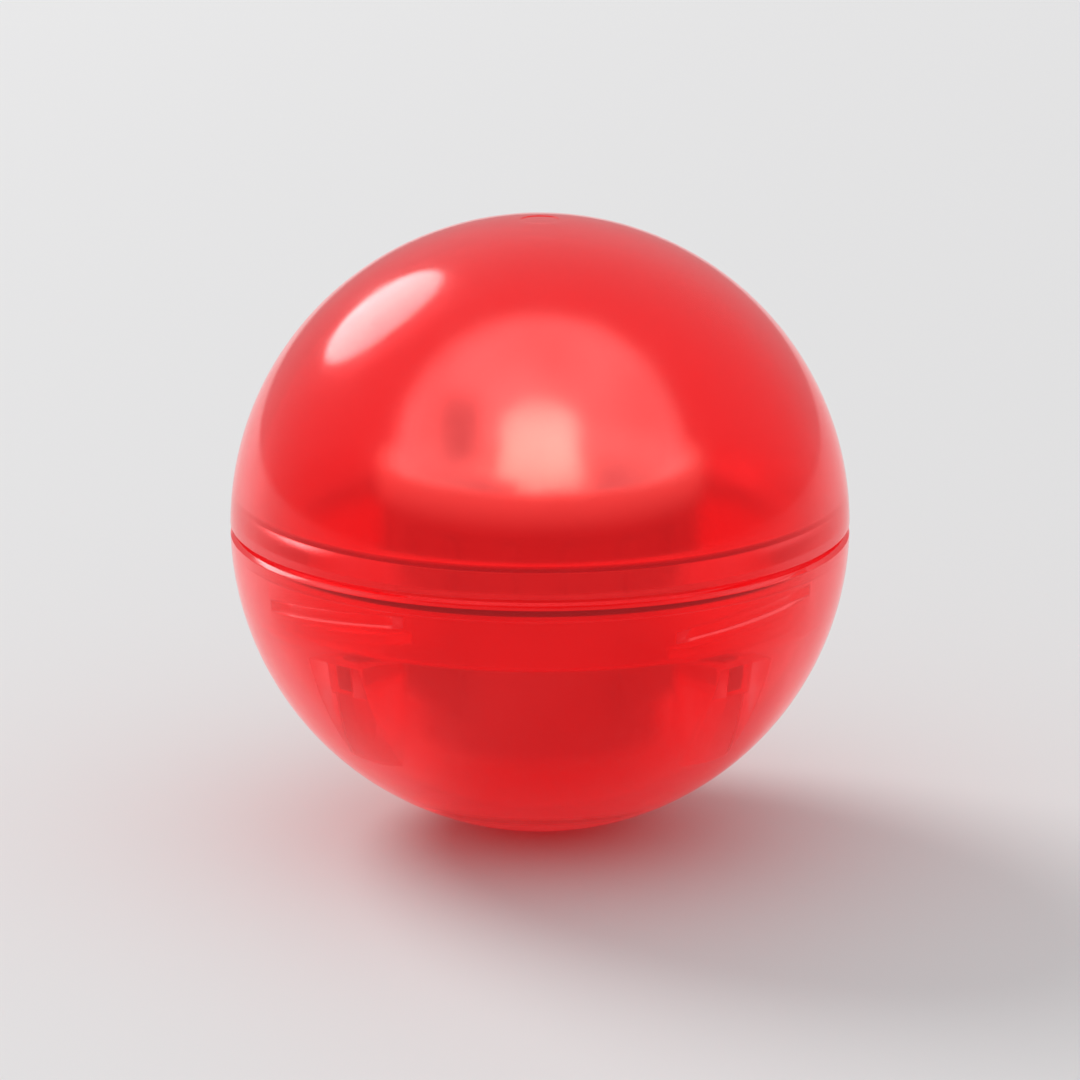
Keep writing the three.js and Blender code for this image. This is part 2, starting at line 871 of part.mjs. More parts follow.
// The lamp
onBoard.add(piece("lamp_lens", lampLens(), "lens"));
onBoard.add(piece("lamp_cathode", lampCathode(), "tin"));
onBoard.add(piece("lamp_anode", lampAnode(), "tin"));
const dieBottom = cupBottom + cupWall + seatGap;
const die = block(
  [-dieSize / 2, -dieSize / 2, dieBottom],
  [dieSize / 2, dieSize / 2, dieBottom + dieHeight],
);
onBoard.add(piece("lamp_die", die, "glow"));

// The motion switch
const motionSwitch = new THREE.Group();
motionSwitch.position.x = switchX;
motionSwitch.add(piece("switch_base", switchBase(), "whitePlastic"));
const pin = ring(0, pinRadius, -boardThickness - legBelowBoard, pinTop, pinSteps);
motionSwitch.add(piece("switch_pin", pin, "tin"));
const swayCoil = coil(
  "switch_coil",
  coilWire,
  coilTurns,
  coilRadius,
  coilRadius,
  coilBottom,
  coilHeight,
);
motionSwitch.add(piece("switch_coil", swayCoil, "nickel"));
onBoard.add(motionSwitch);

// The chip and the small parts
const smallParts = [
  ["chip_resin", chipDrop(), chipAngle, "resin"],
  ["lamp_resistor", boardPart(resistorSize), lampResistorAngle, "resin"],
  ["timer_resistor", boardPart(resistorSize), timerResistorAngle, "resin"],
  ["capacitor", boardPart(capacitorSize), capacitorAngle, "ceramic"],
  ["transistor", transistor(), transistorAngle, "resin"],
];
for (const [name, shape, angle, material] of smallParts) {
  const place = groupAt(0, partRing, angle);
  place.add(piece(name, shape, material));
  onBoard.add(place);
}

export default ball;
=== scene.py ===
from math import acos, asin, atan2, cos, degrees, pi, radians, sin, sqrt, tan, tau

import bmesh
import bpy
from mathutils import Matrix, Vector


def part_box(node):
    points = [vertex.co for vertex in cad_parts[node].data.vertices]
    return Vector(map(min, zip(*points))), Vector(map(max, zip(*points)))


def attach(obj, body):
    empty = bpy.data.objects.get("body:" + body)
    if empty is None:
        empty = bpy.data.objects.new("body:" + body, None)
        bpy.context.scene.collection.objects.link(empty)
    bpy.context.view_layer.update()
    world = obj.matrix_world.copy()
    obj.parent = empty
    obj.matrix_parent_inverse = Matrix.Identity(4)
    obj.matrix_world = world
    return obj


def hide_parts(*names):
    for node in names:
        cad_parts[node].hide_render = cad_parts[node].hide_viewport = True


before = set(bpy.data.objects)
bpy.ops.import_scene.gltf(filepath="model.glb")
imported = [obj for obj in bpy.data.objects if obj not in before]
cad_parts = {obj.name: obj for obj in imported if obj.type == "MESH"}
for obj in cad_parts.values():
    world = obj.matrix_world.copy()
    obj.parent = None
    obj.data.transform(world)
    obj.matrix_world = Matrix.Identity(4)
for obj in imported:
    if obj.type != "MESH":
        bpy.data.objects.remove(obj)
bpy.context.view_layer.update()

MM = 0.001
TINY = 1e-7

# The ball and its shells
BALL_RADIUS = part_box("upper_shell")[1].z
SHELL_WALL = 1.5 * MM
RIM_WALL = 2.1 * MM
SEAM_GAP = 0.2 * MM
SEAM_BEVEL = 0.25 * MM
FLANGE_THICKNESS = 1.5 * MM
SPIGOT_WALL = 1.4 * MM
CORNER_ROUND = 0.5 * MM
GATE_RADIUS = 1.2 * MM
GATE_DEPTH = 0.04 * MM

# The threads. A rib's taper is the share of its length that rises at each end.
LOOSE_GAP = 0.3 * MM
SEAT_GAP = 0.05 * MM
THREAD_PITCH = 2.4 * MM
RIB_THICKNESS = 0.85 * MM
RIB_SLOPE = 0.12 * MM
RIB_ROOT = 0.2 * MM
RIB_PROUD = 0.75 * MM
HEAD_RIB_PROUD = 0.7 * MM
RIB_TAPER = 0.14
RIB_TIP = 0.3
CREST_OVERLAP = 0.45 * MM
SHELL_THREAD = {"starts": 4, "arc_degrees": 36, "middle": 45}
HEAD_THREAD = {"starts": 3, "arc_degrees": 40, "middle": 90}

# The sealing ring
SEAL_RADIUS = 0.6 * MM
SEAL_ROOM = 0.15 * MM
SEAL_FLASH = 0.02 * MM

# The battery tube, its arms and their brackets
CELL_PLAY = 0.3 * MM
TUBE_WALL = 1.6 * MM
TUBE_FLOOR = 0.8 * MM
TUBE_FOOT_BEVEL = 1.2 * MM
GROOVE_DEPTH = 0.85 * MM
GROOVE_WIDTH = 3.2 * MM
ARM_COUNT = 4
ARM_ANGLE = pi / 4
ARM_THICKNESS = 1.3 * MM
ARM_END_DEPTH = 2 * MM
ARM_REACH = 0.4 * MM
ARM_GUSSET = 4.7 * MM
HOLD_GAP = 0.4 * MM
BRACKET_LENGTH = 2.7 * MM
BRACKET_CHEEK = 1.2 * MM
BRACKET_DEPTH = 8 * MM
BRACKET_STEP = 0.25 * MM
SOCKET_WALL = 1.2 * MM
SOCKET_TOP = 3.3 * MM

# The cells. The cap's rim and dish are measured in from its side.
CELL_HEIGHT = 5.4 * MM
CELL_BEVEL = 0.35 * MM
CAN_LIP = 0.6 * MM
CAP_PROUD = 0.25 * MM
CAP_DEPTH = 1.55 * MM
CAP_DISH = 0.12 * MM
CAP_BEVEL = 0.3 * MM
CAP_RIM_END = 0.7 * MM
CAP_DISH_START = 1 * MM
GASKET_WALL = 0.25 * MM

# The contacts
CONTACT_THICKNESS = 0.25 * MM
CONTACT_TAB = 1.1 * MM
CONTACT_BEND = 0.22 * MM
SPRING_WIRE = 0.2 * MM
SPRING_TURNS = 3
SPRING_TOP = 3.9 * MM
SPRING_FOOT = 1.3 * MM

# The light head
TRAY_WALL = 1.2 * MM
TRAY_FLANGE = 0.8 * MM
TRAY_LEDGE = 0.5 * MM
TRAY_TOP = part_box("board_tray")[1].z
RIM_THICKNESS = 0.8 * MM
GRIP_RIBS = 16
GRIP_PROUD = 0.4 * MM
GRIP_WIDTH = 1 * MM
BOARD_OVER_SKIRT = 0.7 * MM
KEY_COUNT = 2
KEY_ANGLE = pi / 2
KEY_WIDTH = 1.2 * MM
KEY_DEPTH = 0.7 * MM
DOME_WALL = 1 * MM
DOME_STRAIGHT = 1 * MM
SNAP_PROUD = 0.35 * MM
SNAP_HEIGHT = 0.5 * MM
SNAP_ROOM = 0.2 * MM

# The lamp
LAMP_RADIUS = 2.4 * MM
LAMP_FLANGE = 0.35 * MM
LAMP_FLANGE_HEIGHT = 0.8 * MM
LAMP_BODY = 3.8 * MM
LAMP_CROWN = 1 * MM
LAMP_WALL = 0.5 * MM
LEG_SPACING = 2.54 * MM
LEG_SIZE = 0.5 * MM
CUP_RADIUS = 0.95 * MM
CUP_FLOOR_RADIUS = 0.55 * MM
CUP_HEIGHT = 0.7 * MM
CUP_WALL = 0.3 * MM
CUP_ROOM = 0.3 * MM
BOND_WIRE = 0.04 * MM
BOND_ARCH = 0.28 * MM

# The motion switch. The coil's ends are straight for this many times the wire's radius.
BASE_HEIGHT = 0.8 * MM
BOSS_WALL = 0.3 * MM
BOSS_HEIGHT = 0.7 * MM
PIN_RADIUS = 0.3 * MM
PIN_ROOM = 0.1 * MM
COIL_RADIUS = 1.1 * MM
COIL_WIRE = 0.13 * MM
COIL_TURNS = 18
COIL_STUB = 2

# The board's tracks and solder joints
TRACK_THICKNESS = 0.035 * MM
TRACK_WIDTH = 0.45 * MM
TRACK_INSET = 0.45 * MM
TRACK_START = 0.2 * MM
TRACK_LIFT = 0.002 * MM
PAD_RADIUS = 0.85 * MM
JOINT_HEIGHT = 0.4 * MM
JOINT_TIP = 0.12 * MM
JOINT_WAIST = 0.72
JOINT_FILLET = 0.1 * MM
JOINT_LIFT = 0.01 * MM

# The parts round the lamp. Sizes are length, width and height, and a wave of the
# resin's foot is its size, its number round the drop and its start.
BOARD_PARTS = ("chip_resin", "lamp_resistor", "timer_resistor", "capacitor", "transistor")
CHIP_RADIUS = 1.5 * MM
CHIP_HEIGHT = 1.3 * MM
DROP_SHARE = 0.965
DROP_WAVES = ((0.02, 3, 0.6), (0.012, 5, 0))
RESISTOR_SIZE = (3.2 * MM, 1.6 * MM, 0.6 * MM)
CAPACITOR_SIZE = (2 * MM, 1.3 * MM, 1.1 * MM)
END_CAP_SHARE = 0.17
END_CAP_OVERLAP = 0.8
BODY_SLIM = 0.03 * MM
TRANSISTOR_SIZE = (2.9 * MM, 1.3 * MM, 1 * MM)
TRANSISTOR_DRAFT = 0.12 * MM
TRANSISTOR_LIFT = 0.08 * MM
LEAD_WIDTH = 0.45 * MM
LEAD_REACH = 0.7 * MM
LEAD_THICKNESS = 0.13 * MM
LEAD_ROOT = 0.1 * MM
LEAD_ROUND = 0.08 * MM
LEAD_LEVEL = 0.45
LEAD_BENDS = (0.3, 0.45, 0.55)

# Facets
FINE_STEPS = 192
ROUND_STEPS = 128
LENS_STEPS = 96
DROP_STEPS = 72
BASE_STEPS = 64
SMALL_STEPS = 48
SEAL_STEPS = 36
PIN_STEPS = 32
RIB_STEPS = 28
FINE_ARC = 56
ROUND_ARC = 32
CROWN_ARC = 20
GATE_ARC = 6
TURN_STEPS = 40
STUB_STEPS = 12
WIRE_SIDES = 14
BOND_STEPS = 16
BEND_STEPS = 6

# Softened edges. Corners that turn less than SOFT_TURN stay, a rounded corner takes up to
# SIDE_SHARE of a side, and an edge is shaded as a corner where it turns more than SHARP.
MOULDED_EDGE = 0.12 * MM
CLEAR_EDGE = 0.08 * MM
RIB_EDGE = 0.06 * MM
FINE_EDGE = 0.05 * MM
HAIR_EDGE = 0.005 * MM
CAN_EDGE = 0.3 * MM
CAP_EDGE = 0.18 * MM
LENS_EDGE = 0.15 * MM
PIN_EDGE = 0.12 * MM
BASE_EDGE = 0.1 * MM
DIE_EDGE = 0.03 * MM
CHIP_EDGE = 0.04 * MM
END_CAP_EDGE = 0.07 * MM
LEAD_EDGE = 0.02 * MM
SOFT_TURN = radians(20)
SIDE_SHARE = 0.45
BEVEL_TURN = radians(30)
SHARP = radians(38)
OVERCUT = 1 * MM

# Sizes that follow
INNER_RADIUS = BALL_RADIUS - SHELL_WALL
SEAM_FACE = SEAM_GAP / 2
SEAM_ANGLE = degrees(asin((SEAM_FACE + SEAM_BEVEL) / BALL_RADIUS))
GATE_ANGLE = degrees(acos(GATE_RADIUS / BALL_RADIUS))
MOUTH_RADIUS = BALL_RADIUS - RIM_WALL
LOWER_CREST = MOUTH_RADIUS - RIB_PROUD
LUG_CREST = LOWER_CREST + CREST_OVERLAP
SPIGOT_OUTER = LOWER_CREST - LOOSE_GAP - SEAT_GAP
SPIGOT_INNER = SPIGOT_OUTER - SPIGOT_WALL
SPIGOT_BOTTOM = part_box("upper_shell")[0].z
FLANGE_TOP = SEAM_FACE + FLANGE_THICKNESS
POCKET_WIDTH = 2 * (SEAL_RADIUS + SEAL_ROOM)
POCKET_RADIUS = SPIGOT_OUTER + POCKET_WIDTH
POCKET_FLOOR = SEAM_FACE - POCKET_WIDTH
THREAD_GAP = THREAD_PITCH / 2 - RIB_THICKNESS
LUG_BOTTOM = SPIGOT_BOTTOM + LOOSE_GAP
LOWER_RIB_BOTTOM = LUG_BOTTOM + RIB_THICKNESS + THREAD_GAP

CELL_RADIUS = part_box("lower_cell_can")[1].x
LIP_RADIUS = CELL_RADIUS - CAN_LIP
CAN_TOP = CELL_HEIGHT - CAP_PROUD
CAP_FOOT = CAN_TOP - CAP_DEPTH + SEAT_GAP
TUBE_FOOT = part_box("battery_tube")[0].z
TUBE_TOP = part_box("battery_tube")[1].z
TUBE_INNER = CELL_RADIUS + CELL_PLAY
TUBE_OUTER = TUBE_INNER + TUBE_WALL
ARM_TOP = SPIGOT_BOTTOM - HOLD_GAP
ARM_BOTTOM = ARM_TOP - ARM_END_DEPTH
ARM_END = SPIGOT_OUTER - ARM_REACH
BRACKET_INNER = ARM_END - BRACKET_LENGTH

BOARD_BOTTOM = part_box("circuit_board")[0].z
BOARD_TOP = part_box("circuit_board")[1].z
PARTS_FLOOR = BOARD_TOP + SEAT_GAP
TUBE_CREST = TUBE_OUTER + HEAD_RIB_PROUD
TRAY_CREST = TUBE_CREST - CREST_OVERLAP
SKIRT_INNER = TUBE_CREST + LOOSE_GAP
SKIRT_OUTER = SKIRT_INNER + TRAY_WALL
SKIRT_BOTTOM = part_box("board_tray")[0].z
TRAY_RIB_BOTTOM = SKIRT_BOTTOM + LOOSE_GAP
TUBE_RIB_BOTTOM = TRAY_RIB_BOTTOM + RIB_THICKNESS + THREAD_GAP
BOARD_RADIUS = SKIRT_INNER + BOARD_OVER_SKIRT
TRAY_RIM = BOARD_RADIUS + LOOSE_GAP
TRAY_RIM_OUTER = TRAY_RIM + RIM_THICKNESS
FLANGE_BOTTOM = BOARD_BOTTOM - SEAT_GAP - TRAY_FLANGE
DOME_CENTRE = PARTS_FLOOR + DOME_STRAIGHT
DOME_INNER = BOARD_RADIUS - DOME_WALL
SNAP_MIDDLE = PARTS_FLOOR + DOME_STRAIGHT / 2

CUP_BOTTOM = PARTS_FLOOR + LAMP_BODY - 2 * LAMP_WALL - CUP_ROOM - CUP_HEIGHT
SHOULDER = PARTS_FLOOR + (CUP_BOTTOM - PARTS_FLOOR) / 2
SWITCH_X = (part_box("switch_pin")[0].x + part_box("switch_pin")[1].x) / 2
LEG_HOLE = LEG_SIZE / sqrt(2) + PIN_ROOM
PIN_HOLE = PIN_RADIUS + PIN_ROOM
HOLES = ((-LEG_SPACING / 2, LEG_HOLE), (LEG_SPACING / 2, LEG_HOLE), (SWITCH_X, PIN_HOLE))


# Shapes

def in_scene(name, data):
    """A new object in the scene with this data."""
    thing = bpy.data.objects.new(name, data)
    bpy.context.scene.collection.objects.link(thing)
    return thing


def mesh_piece(name, points, faces):
    """An object with a mesh of these points and faces, its doubles merged."""
    mesh = bpy.data.meshes.new(name)
    mesh.from_pydata(points, [], faces)
    shape = bmesh.new()
    shape.from_mesh(mesh)
    bmesh.ops.remove_doubles(shape, verts=shape.verts, dist=TINY)
    bmesh.ops.recalc_face_normals(shape, faces=shape.faces)
    shape.to_mesh(mesh)
    shape.free()
    return in_scene(name, mesh)


def arc(radius, start, end, count, centre=0):
    """Points [radius, height] on an arc about the axis, between two elevations in degrees."""
    points = []
    for i in range(count + 1):
        angle = radians(start + (end - start) * i / count)
        points.append((max(radius * cos(angle), 0.0), centre + radius * sin(angle)))
    return points


def crown(radius, height, top):
    """An arc over a rounded top, from this radius in to the axis."""
    bend = (radius**2 + height**2) / (2 * height)
    half_angle = degrees(asin(radius / bend))
    return arc(bend, 90 - half_angle, 90, CROWN_ARC, top - bend)


def band(inner, outer, low, high):
    """A rectangle between two radii and two heights: the section of a ring or a disc."""
    return [(inner, low), (outer, low), (outer, high), (inner, high)]


def softened(outline, radius, closed, steps=4):
    """The outline with its sharp corners rounded, as a mould or a press leaves them."""
    count = len(outline)
    soft = []
    for i, point in enumerate(outline):
        here = Vector(point)
        into = here - Vector(outline[i - 1])
        away = Vector(outline[(i + 1) % count]) - here
        at_end = not closed and i in (0, count - 1)
        if at_end or into.length < TINY or away.length < TINY or into.angle(away) < SOFT_TURN:
            soft.append(tuple(here))
            continue
        reach = radius * tan(into.angle(away) / 2)
        cut = min(reach, into.length * SIDE_SHARE, away.length * SIDE_SHARE)
        first = here - into.normalized() * cut
        last = here + away.normalized() * cut
        for k in range(steps + 1):
            share = k / steps
            low = first.lerp(here, share)
            soft.append(tuple(low.lerp(here.lerp(last, share), share)))
    return soft


def turned(name, outline, edge=MOULDED_EDGE, steps=ROUND_STEPS):
    """A shape turned about Z. Its outline starts and ends on the axis, or is a closed loop."""
    closed = outline[0][0] > TINY
    points = []
    rows = []
    for radius, height in softened(outline, edge, closed):
        if radius < TINY:
            rows.append([len(points)] * steps)
            points.append((0, 0, height))
            continue
        rows.append(range(len(points), len(points) + steps))
        for i in range(steps):
            angle = tau * i / steps
            points.append((radius * cos(angle), radius * sin(angle), height))
    nexts = rows[1:] + rows[:1] if closed else rows[1:]
    faces = []
    for low, high in zip(rows, nexts):
        for i in range(steps):
            j = (i + 1) % steps
            face = list(dict.fromkeys((low[i], low[j], high[j], high[i])))
            if len(face) > 2:
                faces.append(face)
    return mesh_piece(name, points, faces)


def prism(name, outline, thickness, edge=FINE_EDGE):
    """A flat outline of [x, z] points given a thickness along Y, its rims bevelled."""
    count = len(outline)
    half = thickness / 2
    points = [(x, -half, z) for x, z in outline] + [(x, half, z) for x, z in outline]
    faces = [list(range(count)), list(range(2 * count - 1, count - 1, -1))]
    faces += [[i, count + i, count + (i + 1) % count, (i + 1) % count] for i in range(count)]
    return bevelled(mesh_piece(name, points, faces), edge)


def block(name, low, high, edge=FINE_EDGE):
    """A block between two corners, with softened edges."""
    piece = prism(name, band(low[0], high[0], low[2], high[2]), high[1] - low[1], edge)
    return shifted(piece, 0, (low[1] + high[1]) / 2, 0)


def moved(piece, matrix):
    """The piece with its mesh moved, its object left at the origin."""
    piece.data.transform(matrix)
    return piece


def shifted(piece, *by):
    """The piece with its mesh moved along X, Y and Z."""
    return moved(piece, Matrix.Translation(by))


def swung(piece, angle):
    """The piece with its mesh turned about Z."""
    return moved(piece, Matrix.Rotation(angle, 4, "Z"))


def final_mesh(thing):
    """The plain mesh that an object's modifiers or its curve come to."""
    bpy.context.view_layer.update()
    seen = thing.evaluated_get(bpy.context.evaluated_depsgraph_get())
    return bpy.data.meshes.new_from_object(seen)


def settled(piece):
    """The piece with its modifiers turned into its mesh."""
    mesh = final_mesh(piece)
    piece.modifiers.clear()
    piece.data = mesh
    return piece


def bevelled(piece, width):
    """The piece with its edges rounded off."""
    bevel = piece.modifiers.new("edge", "BEVEL")
    bevel.width = width
    bevel.segments = 2
    bevel.limit_method = "ANGLE"
    bevel.angle_limit = BEVEL_TURN
    return settled(piece)


def combined(piece, others, operation="UNION"):
    """The piece joined with the others, cut by them or kept only where they are."""
    for other in others:
        combine = piece.modifiers.new("combine", "BOOLEAN")
        combine.operation = operation
        combine.solver = "EXACT"
        combine.object = other
        settled(piece)
        bpy.data.objects.remove(other)
    return piece


def rib_bar(name, length, root, crest):
    """A straight thread rib along X with sloped flanks and tapered ends, ready to be wound."""
    points = []
    for i in range(RIB_STEPS + 1):
        share = i / RIB_STEPS
        lead_in = min(1, share / RIB_TAPER, (1 - share) / RIB_TAPER)
        reach = root + (crest - root) * (RIB_TIP + (1 - RIB_TIP) * sin(lead_in * pi / 2))
        flank = RIB_THICKNESS - RIB_SLOPE
        for y, z in ((root, 0), (reach, RIB_SLOPE), (reach, flank), (root, RIB_THICKNESS)):
            points.append((length * share, y, z))
    faces = [[0, 1, 2, 3], [4 * RIB_STEPS + k for k in (3, 2, 1, 0)]]
    for i in range(RIB_STEPS):
        for k in range(4):
            n = (k + 1) % 4
            faces.append([4 * i + k, 4 * i + 4 + k, 4 * i + 4 + n, 4 * i + n])
    return bevelled(mesh_piece(name, points, faces), RIB_EDGE)


# Nodes, for the rules that grow shapes and for the finishes

VECTOR_MATHS = "ShaderNodeVectorMath"


def fill(node, *values, **named):
    """Fills a node's inputs, in order and by name, each with a socket or a plain value."""
    filled = list(zip(node.inputs, values))
    filled += [(node.inputs[label.replace("_", " ")], value) for label, value in named.items()]
    for socket, value in filled:
        if isinstance(value, bpy.types.NodeSocket):
            node.id_data.links.new(value, socket)
        else:
            socket.default_value = value


def step(tree, kind, *values, operation=None, **named):
    """The outputs of a new node with these inputs."""
    node = tree.nodes.new(kind)
    if operation:
        node.operation = operation
    fill(node, *values, **named)
    return node.outputs


def maths(tree, operation, *values):
    """The result of one step of arithmetic on sockets or numbers."""
    return step(tree, "ShaderNodeMath", *values, operation=operation)[0]


# Rules that grow shapes: copies round the axis, ribs wound on a thread, and coils

def new_tree(name, **sizes):
    """A geometry node tree with these named inputs, and what its input node gives."""
    tree = bpy.data.node_groups.new(name, "GeometryNodeTree")
    inputs = {"Geometry": "Geometry", **sizes, "Finish": "Material"}
    for label, kind in inputs.items():
        tree.interface.new_socket(label, in_out="INPUT", socket_type=f"NodeSocket{kind}")
    tree.interface.new_socket("Geometry", in_out="OUTPUT", socket_type="NodeSocketGeometry")
    return tree, tree.nodes.new("NodeGroupInput").outputs


def end_tree(tree, geometry, given):
    """Ends a tree in real geometry with its material."""
    real = step(tree, "GeometryNodeRealizeInstances", Geometry=geometry)[0]
    painted = step(tree, "GeometryNodeSetMaterial", Geometry=real, Material=given["Finish"])[0]
    fill(tree.nodes.new("NodeGroupOutput"), Geometry=painted)
    return tree


def copies_round_axis(tree, geometry, given):
    """Count copies of a geometry, spread evenly round Z from the angle Start."""
    points = step(tree, "GeometryNodeMeshLine", Count=given["Count"], Offset=(0, 0, 0))[0]
    apart = maths(tree, "DIVIDE", tau, given["Count"])
    index = step(tree, "GeometryNodeInputIndex")[0]
    turn = maths(tree, "MULTIPLY_ADD", index, apart, given["Start"])
    angles = step(tree, "ShaderNodeCombineXYZ", Z=turn)[0]
    kind = "GeometryNodeInstanceOnPoints"
    return step(tree, kind, Points=points, Instance=geometry, Rotation=angles)[0]


def wound(tree, geometry, radius, angle, height):
    """The geometry with its points set at this radius, angle and height."""
    across = maths(tree, "MULTIPLY", radius, maths(tree, "COSINE", angle))
    along = maths(tree, "MULTIPLY", radius, maths(tree, "SINE", angle))
    place = step(tree, "ShaderNodeCombineXYZ", across, along, height)[0]
    return step(tree, "GeometryNodeSetPosition", Geometry=geometry, Position=place)[0]


def ring_tree():
    """Copies of one shape round the axis."""
    tree, given = new_tree("ring of copies", Count="Int", Start="Float")
    return end_tree(tree, copies_round_axis(tree, given["Geometry"], given), given)


def thread_tree():
    """A straight rib wound on a thread of this Radius and Lead, once for each start."""
    tree, given = new_tree("thread ribs", Radius="Float", Lead="Float", Count="Int", Start="Float")
    place = step(tree, "GeometryNodeInputPosition")[0]
    x, y, z = step(tree, "ShaderNodeSeparateXYZ", place)
    angle = maths(tree, "DIVIDE", x, given["Radius"])
    climb = maths(tree, "DIVIDE", given["Lead"], tau)
    reach = maths(tree, "ADD", given["Radius"], y)
    height = maths(tree, "MULTIPLY_ADD", angle, climb, z)
    rib = wound(tree, given["Geometry"], reach, angle, height)
    return end_tree(tree, copies_round_axis(tree, rib, given), given)


def coil_tree():
    """A coil of wire that climbs from the radius Foot to the radius Top, its ends straight."""
    sizes = dict.fromkeys(("Turns", "Foot", "Top", "Wire", "Height"), "Float")
    tree, given = new_tree("coil", **sizes)
    line = step(tree, "GeometryNodeCurvePrimitiveLine", End=(0, 0, 1))[0]
    count = maths(tree, "MULTIPLY_ADD", given["Turns"], TURN_STEPS, STUB_STEPS)
    points = step(tree, "GeometryNodeResampleCurve", Curve=line, Count=count)[0]
    share = step(tree, "GeometryNodeSplineParameter")["Factor"]
    stub = maths(tree, "DIVIDE", given["Wire"], given["Height"])
    stub = maths(tree, "MULTIPLY", stub, COIL_STUB)
    wind = step(tree, "ShaderNodeMapRange", share, stub, maths(tree, "SUBTRACT", 1, stub))[0]
    widening = maths(tree, "SUBTRACT", given["Top"], given["Foot"])
    radius = maths(tree, "MULTIPLY_ADD", wind, widening, given["Foot"])
    angle = maths(tree, "MULTIPLY", wind, maths(tree, "MULTIPLY", given["Turns"], tau))
    height = maths(tree, "MULTIPLY", share, given["Height"])
    path = wound(tree, points, radius, angle, height)
    circle = "GeometryNodeCurvePrimitiveCircle"
    section = step(tree, circle, Resolution=WIRE_SIDES, Radius=given["Wire"])[0]
    skin = "GeometryNodeCurveToMesh"
    wire = step(tree, skin, Curve=path, Profile_Curve=section, Fill_Caps=True)[0]
    return end_tree(tree, wire, given)


RING = ring_tree()
THREAD = thread_tree()
COIL = coil_tree()


def grown(piece, tree, **sizes):
    """The piece as the tree grows it, as a plain mesh."""
    grow = piece.modifiers.new("grow", "NODES")
    grow.node_group = tree
    for socket in tree.interface.items_tree:
        if socket.in_out == "INPUT" and socket.name in sizes:
            grow[socket.identifier] = sizes[socket.name]
    return settled(piece)


def ringed(piece, count, start, material):
    """Copies of the piece round the axis, from the angle start."""
    return grown(piece, RING, Count=count, Start=start, Finish=material)


def thread_ribs(name, root, crest, bottom, material, starts, arc_degrees, middle):
    """The ribs of one side of a thread, all its starts, centred on the angle middle."""
    radius = min(root, crest)
    sweep = radians(arc_degrees)
    bar = rib_bar(name, sweep * radius, root - radius, crest - radius)
    sizes = {"Radius": radius, "Lead": starts * THREAD_PITCH, "Count": starts}
    ribs = grown(bar, THREAD, Start=radians(middle) - sweep / 2, Finish=material, **sizes)
    return shifted(ribs, 0, 0, bottom)


def wire_coil(node, turns, foot, top, wire, material):
    """A coil of wire as tall as its node, between the radii of its foot and its top."""
    low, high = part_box(node)
    sizes = {"Turns": float(turns), "Foot": foot, "Top": top, "Wire": wire}
    start = mesh_piece(f"{node}_wound", [(0, 0, 0)], [])
    coil = grown(start, COIL, Height=high.z - low.z, Finish=material, **sizes)
    return shifted(coil, 0, 0, low.z)


# Finishes. A noise's scale is in spots to the metre, and PATTERN_SPAN is the part of its
# range that counts. The lens goes from the first glow to the second over LENS_REACH.

PATTERN_SPAN = (0.3, 0.7)
# The painted glow at the top of the tray's rim
RIM_GLOW = 0.45
INSIDE_HAZE = 0.1
LENS_REACH = (1.5 * MM, 4.2 * MM)
LENS_GLOW = (2.3, 0.9)


def shade(material, **inputs):
    """Fills inputs of the material's shader."""
    fill(material.node_tree.nodes["Principled BSDF"], **inputs)


def finish(name, color, roughness, metallic=0.0, **sockets):
    """A material with one Principled shader and these plain values."""
    material = bpy.data.materials.new(name)
    material.use_nodes = True
    shade(material, Base_Color=(*color, 1), Roughness=roughness, Metallic=metallic, **sockets)
    return material


def place_on(material):
    """Places on the piece, in its own coordinates."""
    return step(material.node_tree, "ShaderNodeTexCoord")["Object"]


def marks(material, scale, detail=3, stretch=(1, 1, 1)):
    """Noise over the piece."""
    tree = material.node_tree
    place = step(tree, "ShaderNodeMapping", place_on(material), Scale=stretch)[0]
    return step(tree, "ShaderNodeTexNoise", place, Scale=scale, Detail=detail)["Fac"]


def turning_marks(material, scale):
    """Fine rings about the axis, as turning or polishing leaves them on metal."""
    tree = material.node_tree
    flat = step(tree, VECTOR_MATHS, place_on(material), (1, 1, 0), operation="MULTIPLY")[0]
    radius = step(tree, VECTOR_MATHS, flat, operation="LENGTH")["Value"]
    noise = tree.nodes.new("ShaderNodeTexNoise")
    noise.noise_dimensions = "1D"
    fill(noise, W=radius, Scale=scale, Detail=2)
    return noise.outputs["Fac"]


def by_distance(material, centre, reach, values):
    """A number that goes between two values over a reach of distances from a point."""
    tree = material.node_tree
    place = place_on(material)
    distance = step(tree, VECTOR_MATHS, place, centre, operation="DISTANCE")["Value"]
    return step(tree, "ShaderNodeMapRange", distance, *reach, *values)[0]


def by_height(tree, place, *span):
    """A number that goes with the height of a place, over a span of heights and values."""
    height = step(tree, "ShaderNodeSeparateXYZ", place)["Z"]
    return step(tree, "ShaderNodeMapRange", height, *span)[0]


def between(material, pattern, low, high):
    """A number that a pattern moves between two values."""
    return step(material.node_tree, "ShaderNodeMapRange", pattern, *PATTERN_SPAN, low, high)[0]


def uneven(material, pattern, low, high):
    """Lets a pattern move the roughness between two values."""
    shade(material, Roughness=between(material, pattern, low, high))


def tinted(material, pattern, *colors):
    """Lets a pattern move the colour between two."""
    ramp = material.node_tree.nodes.new("ShaderNodeValToRGB")
    for stop, place, color in zip(ramp.color_ramp.elements, PATTERN_SPAN, colors):
        stop.position = place
        stop.color = (*color, 1)
    fill(ramp, pattern)
    shade(material, Base_Color=ramp.outputs["Color"])


